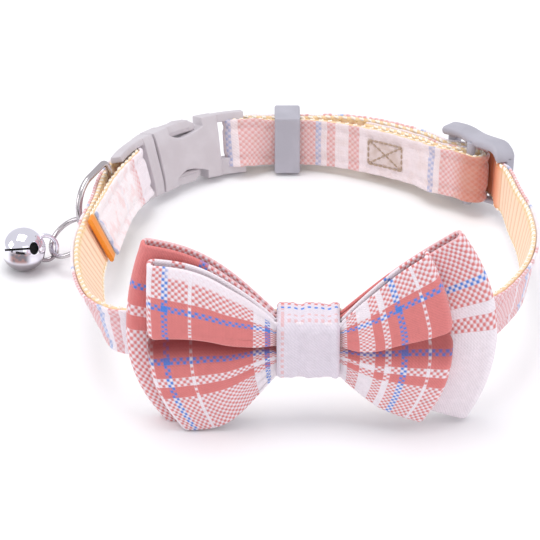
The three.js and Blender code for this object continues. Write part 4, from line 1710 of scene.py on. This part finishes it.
    def bend(self, name: str, shape: Callable[[np.ndarray], np.ndarray]) -> bpy.types.Object:
        """Moves every point to its place in the collar and names the piece.

        Args:
            name: the piece's name.
            shape: turns rows of (along, outward, up) into the collar's own frame.

        Returns:
            The object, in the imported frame.
        """
        mesh = self.object.data
        placed = POSE.place(shape(np.array([v.co for v in mesh.vertices])))
        mesh.vertices.foreach_set("co", placed.ravel())
        mesh.update()
        self.active()
        to_mode("EDIT")
        bpy.ops.mesh.select_all(action="SELECT")
        bpy.ops.mesh.normals_make_consistent(inside=False)
        to_mode("OBJECT")
        bpy.ops.object.shade_smooth_by_angle(angle=SMOOTH_ANGLE)
        self.object.name = mesh.name = name
        return self.object


@dataclass
class Buckle:
    """The side-release buckle: a socket with side windows and a prong whose heads show in them.

    Attributes:
        mouth: where the socket starts along the buckle.
        body: the length of its body.
        half, waist: half its width at the lips and between them.
        deep: half its depth.
        pocket: half the depth and half the width of its pocket.
        arm: the width of the prong's arms.
    """

    mouth: float = 12.6
    body: float = 16.0
    half: float = 6.3
    waist: float = 4.6
    deep: float = 2.65
    pocket: tuple[float, float] = (1.65, 3.0)
    arm: float = 1.35

    def bent(self, flat: np.ndarray) -> np.ndarray:
        """Returns flat rows on the buckle's arc, thinner towards the long edges."""
        thin = 1 - 0.26 * (np.abs(flat[:, 2]) / self.half) ** 3
        return BUCKLE_ARC.points(flat[:, 0], flat[:, 1] * thin, flat[:, 2])

    def make_socket(self, plastic: bpy.types.Material) -> bpy.types.Object:
        """Makes the socket: a lipped mouth, a waisted body with side windows, and two arms."""
        m, end, waist, (depth, width) = self.mouth, self.mouth + self.body, self.waist, self.pocket
        block = Block.box((m, -self.deep, -waist), (end, self.deep, waist))
        block.slice(Axis.OUT, -depth, depth).slice(Axis.UP, -width, width)
        inward = (11.4, 0, 0)
        block.pull(lambda c, n: n.x < -FACING and abs(c.y) < depth and abs(c.z) < width, inward)
        block.slice(Axis.ALONG, *(m + place for place in (4.0, 5.4, 7.0, 9.2, 11.2, 12.6)))
        for side in SIDES:
            wider = (0, 0, side * (self.half - waist))
            block.pull(lambda c, n: n.z * side > FACING and abs(c.z) > 4 and c.x < m + 4.0, wider)
            block.pull(lambda c, n: n.z * side > FACING and abs(c.z) > 4 and c.x > m + 12.6, wider)
            tips = (BUCKLE_LENGTH - end, 0, 0)
            block.pull(lambda c, n: n.x > FACING and c.z * side > waist and abs(c.y) < depth, tips)
            for place, dip in ((5.4, 0.8), (7.0, 1.25), (9.2, 1.0), (11.2, 0.5)):
                block.edge_in(m + place, side, 4.0, dip)
        block.soften(0.42, 4).slices().add(Block.bar(SOCKET_BAR, 0.0, self.half - 0.5))
        piece = block.bend("buckle_socket_shell", self.bent)
        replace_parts(dressed(piece, plastic), "buckle_socket")
        return piece

    def make_head(self, side: int) -> Block:
        """Makes one of the prong's heads, which shows in a window of the socket."""
        m = self.mouth
        low, high = sorted((side * 3.9, side * 6.6))
        head = Block.box((m + 4.35, -1.55, low), (m + 11.2, 1.55, high))
        head.slice(Axis.ALONG, m + 5.6, m + 7.4, m + 9.6)
        for place, inward in ((4.35, 1.15), (5.6, 0.35), (9.6, 0.3), (11.2, 1.1)):
            head.edge_in(m + place, side, 5.0, inward)
        return head.soften(0.5, 4, 20.0).slices()

    def make_prong(self, plastic: bpy.types.Material) -> bpy.types.Object:
        """Makes the prong, with its base, its strap frame and the two heads in the windows."""
        start, front, inner = self.mouth - 3.0, self.mouth - 0.3, self.half - self.arm
        step, slot = self.mouth - 1.9, self.mouth - 1.2
        block = Block.box((start, -2.35, -self.half), (front, 2.35, self.half))
        block.slice(Axis.UP, -inner, -4.7, -3.5, inner).slice(Axis.OUT, -1.5, 1.5)
        for side in SIDES:
            arm = (-start, 0, 0)
            block.pull(lambda c, n: n.x < -FACING and c.z * side > inner and abs(c.y) < 1.5, arm)
        block.slice(Axis.ALONG, step, slot)
        for side in SIDES:
            lower = (0, -0.4 * side, 0)
            block.move(
                lambda c, n: n.y * side > FACING and start < c.x < step and abs(c.y) > 2, lower)
        block.pull(
            lambda c, n: n.y < -FACING and step < c.x < slot and -4.7 < c.z < -3.5 and c.y < -2,
            (0, 0.9, 0))
        block.soften(0.38).slices().add(Block.bar(PRONG_BAR, 0.0, self.half - 0.5))
        for side in SIDES:
            block.add(self.make_head(side))
        piece = block.bend("buckle_prong_shell", self.bent)
        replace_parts(dressed(piece, plastic), "buckle_prong")
        return piece


@dataclass
class Slider:
    """The three-bar slider that sets the collar's length.

    Attributes:
        half_length: half its length.
        half_width: how far up its upper rail reaches.
        rails: the low side, the high side and the inner side of each rail.
    """

    half_length: float = 8.5
    half_width: float = 7.5
    rails: tuple[Triple, Triple] = ((5.6, 7.5, -1.7), (-6.1, -5.2, 0.7))

    def bent(self, flat: np.ndarray) -> np.ndarray:
        """Returns flat rows on the slider's arc, its rails waved outward over the straps."""
        s = flat[:, 0] * np.where(flat[:, 0] > 0, 0.9, 1.0) - 0.3
        wave = 0.15 - 0.5 * np.cos(s * math.pi / 5.4)
        droop = 0.17 * np.clip(s - 4.0, 0, None) ** 2 * np.clip(flat[:, 2] / 5, 0, 1)
        return SLIDER_ARC.points(s, flat[:, 1] + wave, flat[:, 2] - droop + 0.3 * (flat[:, 2] > 3))

    def make(self, plastic: bpy.types.Material) -> bpy.types.Object:
        """Makes the slider from two rails, two end bars and a round middle bar."""
        parts = []
        for low, high, near in self.rails:
            rail = Block.box((-self.half_length, near, low), (self.half_length, 2.8, high))
            parts.append(rail.soften(min(0.85, (high - low) * 0.45), 6).slices(0.6))
        for side in SIDES:
            low, high = sorted((side * (self.half_length - 1.9), side * self.half_length))
            end = Block.box((low, 0.9, -5.9), (high, 2.9, self.half_width - 0.3))
            parts.append(end.soften(0.5, 4))
        whole, *others = [*parts, Block.bar(0.0, -1.35, 6.4)]
        for part in others:
            whole.add(part)
        piece = whole.bend("slider_frame", self.bent)
        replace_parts(dressed(piece, plastic), "slider")
        return piece


@dataclass
class Keeper:
    """The flat loop that keeps the two straps together.

    Attributes:
        half_length: half its length along the strap.
        half_depth, half_height: half the sizes of its hole.
        wall: its thickness.
        turn: its turn in plan, in degrees.
    """

    half_length: float = 2.6
    half_depth: float = 2.7
    half_height: float = 5.2
    wall: float = 0.95
    turn: float = 1.0

    def placed(self, flat: np.ndarray) -> np.ndarray:
        """Returns flat rows at the keeper's place on the strap."""
        c, s = math.cos(math.radians(self.turn)), math.sin(math.radians(self.turn))
        x, y = flat[:, 0] * c - flat[:, 1] * s, flat[:, 0] * s + flat[:, 1] * c
        return np.stack([x, y, flat[:, 2]], axis=-1) + np.array(POSE.keeper)

    def make(self, plastic: bpy.types.Material) -> bpy.types.Object:
        """Makes the keeper."""
        depth, height = self.half_depth + self.wall, self.half_height + self.wall
        block = Block.box((-self.half_length, -depth, -height), (self.half_length, depth, height))
        block.slice(Axis.OUT, -self.half_depth, self.half_depth)
        block.slice(Axis.UP, -self.half_height, self.half_height)
        block.bore(lambda c, n: (
            abs(n.x) > FACING and abs(c.y) < self.half_depth and abs(c.z) < self.half_height))
        piece = block.soften(0.42, 4).bend("keeper_loop_shell", self.placed)
        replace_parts(dressed(piece, plastic), "keeper_loop")
        return piece


def basis(first: Sequence[float], second: Sequence[float]) -> np.ndarray:
    """Returns three square axes from one direction and another near it."""
    x = unit(np.array(first, float))
    z = unit(np.cross(x, np.array(second, float)))
    return np.array([x, np.cross(z, x), z])


@dataclass
class Hardware:
    """The D-ring, the jump ring and the bell, lying against the strap.

    Attributes:
        d_origin, d_reach, d_width: the middle of the D-ring's bar, the way to its bow, and the
            way along its bar.
        d_half, d_length, d_corner, d_wire: its half width, length and corners at its wire's
            middle, and the wire's radius.
        jump_centre, jump_normal, jump_radius, jump_wire: the same for the jump ring.
        bell_centre, bell_loop, bell_slot: the bell's middle and the ways to its loop and slot.
        bell_radius, bell_wall: its outer radius and its thickness.
    """

    d_origin: Triple = (-37.0, 20.25, 0.7)
    d_reach: Triple = (-0.493, -0.838, -0.232)
    d_width: Triple = (-0.28, -0.08, 0.96)
    d_half: float = 6.95
    d_length: float = 12.6
    d_corner: float = 1.3
    d_wire: float = 0.65
    jump_centre: Triple = (-45.41, 8.6, -4.15)
    jump_normal: Triple = (-0.516, -0.302, 0.802)
    jump_radius: float = 4.6
    jump_wire: float = 0.5
    bell_centre: Triple = (-54.55, 7.0, -5.95)
    bell_loop: Triple = (0.95, 0.303, -0.072)
    bell_slot: Triple = (0.304, -0.853, 0.424)
    bell_radius: float = 4.35
    bell_wall: float = 0.45

    def wire(self, sides: int, radius: float, reach: float,
             fill: str = "NOTHING") -> bpy.types.Object:
        """Adds a wire's round section on X and enters edit mode with all of it selected."""
        deselect()
        bpy.ops.mesh.primitive_circle_add(
            vertices=sides, radius=radius, location=(reach, 0, 0), rotation=UPRIGHT, fill_type=fill)
        ring = Block().object
        to_mode("EDIT")
        bpy.ops.mesh.select_all(action="SELECT")
        return ring

    def spin(self, centre: Triple, degrees: float, steps: int) -> None:
        """Turns the selected edge loop in plan about a point, leaving a skin behind it."""
        bpy.ops.mesh.spin(steps=steps, angle=math.radians(degrees), center=centre, axis=(0, 0, 1))

    def draw(self, x: float, y: float) -> None:
        """Draws the selected edge loop out by a step."""
        bpy.ops.mesh.extrude_region_move(TRANSFORM_OT_translate={"value": (x, y, 0)})

    def make_d_ring(self, metal: bpy.types.Material) -> bpy.types.Object:
        """Makes the D-ring: half of it is spun and extruded, and the other half is its mirror."""
        arm = self.d_length - self.d_half
        ring = self.wire(16, self.d_wire, self.d_length)
        self.spin((arm, 0, 0), -90, 20)
        self.draw(self.d_corner - arm, 0)
        self.spin((self.d_corner, self.d_half - self.d_corner, 0), -90, 8)
        self.draw(0, self.d_corner - self.d_half)
        to_mode("OBJECT")
        mirror = ring.modifiers.new("other_half", "MIRROR")
        mirror.use_axis = (False, True, False)
        mirror.merge_threshold = 0.01
        bpy.ops.object.modifier_apply(modifier=mirror.name)
        axes = basis(self.d_reach, self.d_width)
        self.settle(ring, "d_ring_wire", axes, self.d_origin)
        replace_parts(dressed(ring, metal), "d_ring")
        return ring

    def settle(self, made: bpy.types.Object, name: str, axes: np.ndarray, origin: Triple) -> None:
        """Welds a metal piece, puts it in its place and names it.

        Args:
            made: the piece in its own space, in millimetres.
            name: its name.
            axes: its axes in the collar's own frame.
            origin: its origin there.
        """
        mesh = made.data
        bpy.context.view_layer.objects.active = made
        made.select_set(True)
        to_mode("EDIT")
        bpy.ops.mesh.select_all(action="SELECT")
        bpy.ops.mesh.remove_doubles(threshold=0.002)
        bpy.ops.mesh.normals_make_consistent(inside=False)
        to_mode("OBJECT")
        rows = np.array([v.co for v in mesh.vertices]) @ axes + np.array(origin)
        mesh.vertices.foreach_set("co", POSE.place(rows).ravel())
        mesh.update()
        bpy.ops.object.shade_smooth_by_angle(angle=SMOOTH_ANGLE)
        made.name = mesh.name = name

    def make_jump_ring(self, metal: bpy.types.Material) -> bpy.types.Object:
        """Makes the jump ring, closed but for the fine slit where its ends meet."""
        ring = self.wire(14, self.jump_wire, self.jump_radius, "NGON")
        self.spin((0, 0, 0), 358.6, 72)
        to_mode("OBJECT")
        up = unit(np.array(self.jump_normal))
        first = basis(np.cross(up, (0.2, 1.0, 0.1)), up)[0]
        axes = np.array([first, np.cross(up, first), up])
        self.settle(ring, "jump_ring_wire", axes, self.jump_centre)
        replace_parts(dressed(ring, metal), "jump_ring")
        return ring

    def make_bell(self, metal: bpy.types.Material) -> bpy.types.Object:
        """Makes the bell: a thin ball with a slot, round eyes at its ends and a wire loop, with a
        dark ball inside as painted shade.

        The dark ball inside it is still selected when the bell is welded, so its points are welded
        to a few as well.
        """
        radius = self.bell_radius
        bell = Block.ball(radius, 96, math.pi / 2).cut(Block.ball(radius - self.bell_wall))
        bell.cut(Block.box((-radius - 1, -8, -0.2), (1.2, 8, 0.2)))
        deselect()
        bpy.ops.mesh.primitive_cylinder_add(
            vertices=40, radius=0.95, depth=16, location=(1.15, 0, 0), rotation=UPRIGHT)
        bell.cut(Block((1.0, 1.3, 1.0)))
        deselect()
        bpy.ops.mesh.primitive_torus_add(
            major_radius=2.4, minor_radius=0.45, major_segments=48, minor_segments=14,
            location=(radius, 0, 0), rotation=UPRIGHT)
        bell.add(Block().cut(Block.ball(radius - 0.2)))
        axes = basis(self.bell_loop, self.bell_slot)
        # A dark ball fills the inside: painted shade seen through the slot and the eyes.
        inside = Block.ball(radius - 0.5).object
        dark = SewingThread("painted_shade_inside", tint(16, 14, 16), 0.9).make()
        pieces = {"bell_painted_shade_inside": (inside, dark), "jingle_bell": (bell.object, metal)}
        for name, (made, finish) in pieces.items():
            self.settle(made, name, axes, self.bell_centre)
            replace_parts(dressed(made, finish), "bell")
        return bell.object


# ---------------------------------------------------------------- stage


def facing(at: Sequence[float], to: Sequence[float], axis: str) -> Euler:
    """Returns the turn that points an axis from one place at another."""
    return (Vector(to) - Vector(at)).to_track_quat(axis, "Y").to_euler()


@dataclass
class Stage:
    """The plain floor, the soft lights and the camera.

    Attributes:
        distance: the camera's distance from the collar, in millimetres.
        raised: its height above the strap's plane, in degrees.
        aim_right, aim_up: where it aims, seen from its own place.
        lens: its focal length.
    """

    distance: float = 650.0
    raised: float = 25.0
    aim_right: float = -6.35
    aim_up: float = -6.15
    lens: float = 225.3

    def floor(self) -> None:
        """Adds a wide pale floor."""
        deselect()
        bpy.ops.mesh.primitive_plane_add(size=6, location=(0, 0, 0))
        floor = bpy.context.object
        floor.name = "floor"
        floor.data.materials.append(Dress("pale_floor").close((0.93, 0.93, 0.94, 1), 0.9))

    def lamp(self, name: str, at: Triple, size: float, power: float) -> None:
        """Adds a soft square white light aimed at the collar."""
        data = bpy.data.lights.new(name, "AREA")
        data.energy, data.size = power, size
        lamp = bpy.data.objects.new(name, data)
        lamp.location = at
        lamp.rotation_euler = facing(at, (0, 0, 0.01), "-Z")
        bpy.context.scene.collection.objects.link(lamp)

    def card(self, name: str, at: Triple, size: tuple[float, float], colour: tuple) -> None:
        """Adds a card out of view for the bright metal to reflect, facing the collar."""
        deselect()
        bpy.ops.mesh.primitive_plane_add(size=1, location=at)
        card = bpy.context.object
        card.name = name
        card.scale = (*size, 1)
        card.rotation_euler = facing(at, (-0.05, 0, 0.01), "Z")
        card.data.materials.append(Dress(name).close(colour, 0.9))

    def lights(self) -> None:
        """Adds the soft lights and the pale surroundings."""
        self.lamp("top_light", (-0.15, 0.05, 0.9), 0.6, 3.6)
        self.lamp("front_light", (0.25, -0.9, 0.55), 0.6, 0.7)
        self.lamp("left_light", (-0.9, -0.15, 0.45), 0.4, 1.3)
        self.lamp("right_light", (0.9, -0.2, 0.5), 0.5, 1.2)
        self.card("dark_card_front", (-0.25, -0.95, 0.16), (0.9, 0.22), (0.03, 0.025, 0.025, 1))
        self.card("dark_card_left", (-0.75, -0.45, 0.12), (0.12, 0.2), (0.04, 0.03, 0.03, 1))
        world = bpy.data.worlds.new("studio")
        world.use_nodes = True
        sky = world.node_tree.nodes["Background"].inputs
        sky[0].default_value, sky[1].default_value = (0.96, 0.96, 1.0, 1), 0.8
        bpy.context.scene.world = world
        bpy.context.scene.view_settings.view_transform = "Standard"

    def camera(self) -> None:
        """Adds the camera at the angle that shows the bow, the bell and the buckle's inner side."""
        c, s = math.cos(math.radians(self.raised)), math.sin(math.radians(self.raised))
        eye = self.distance * np.array([0, -c, s])
        aim = np.array([self.aim_right, s * self.aim_up, c * self.aim_up])
        data = bpy.data.cameras.new("camera")
        data.lens, data.clip_end = self.lens, 10
        camera = bpy.data.objects.new("camera", data)
        at, to = POSE.place(eye), POSE.place(aim)
        camera.location = at
        camera.rotation_euler = facing(at, to, "-Z")
        bpy.context.scene.collection.objects.link(camera)
        bpy.context.scene.camera = camera


def main() -> None:
    """Builds every piece."""
    logging.basicConfig(level=logging.INFO, format="%(name)s: %(message)s")
    stage = Stage()
    stage.camera()
    stage.floor()
    stage.lights()
    strap = Strap()
    LOG.info("strap: %.1f mm", strap.line.s[-1])
    strap.make_webbing()
    strap.make_cover()
    strap.make_edges()
    strap.make_box_stitch()
    BowPair().make()
    # One plastic in two copies: the buckle's paler copy is painted light, the slider's and keeper's
    # grey copy is painted shade.
    plastic = SatinPlastic("satin_plastic_shaded_copy", tint(169, 167, 177), tint(178, 176, 186)).make()
    pale = SatinPlastic("satin_plastic_lit_copy", tint(196, 189, 194), tint(204, 198, 203)).make()
    buckle = Buckle()
    buckle.make_socket(pale)
    buckle.make_prong(pale)
    Slider().make(plastic)
    Keeper().make(plastic)
    hardware = Hardware()
    steel = PlatedMetal("ring_plate", tint(196, 190, 192), 0.16).make()
    hardware.make_d_ring(steel)
    hardware.make_jump_ring(steel)
    middle = POSE.place(np.array(hardware.bell_centre))
    hardware.make_bell(PlatedMetal("bell_chrome", tint(244, 242, 252), 0.05, tuple(middle)).make())
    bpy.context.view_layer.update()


if __name__ == "__main__":
    main()
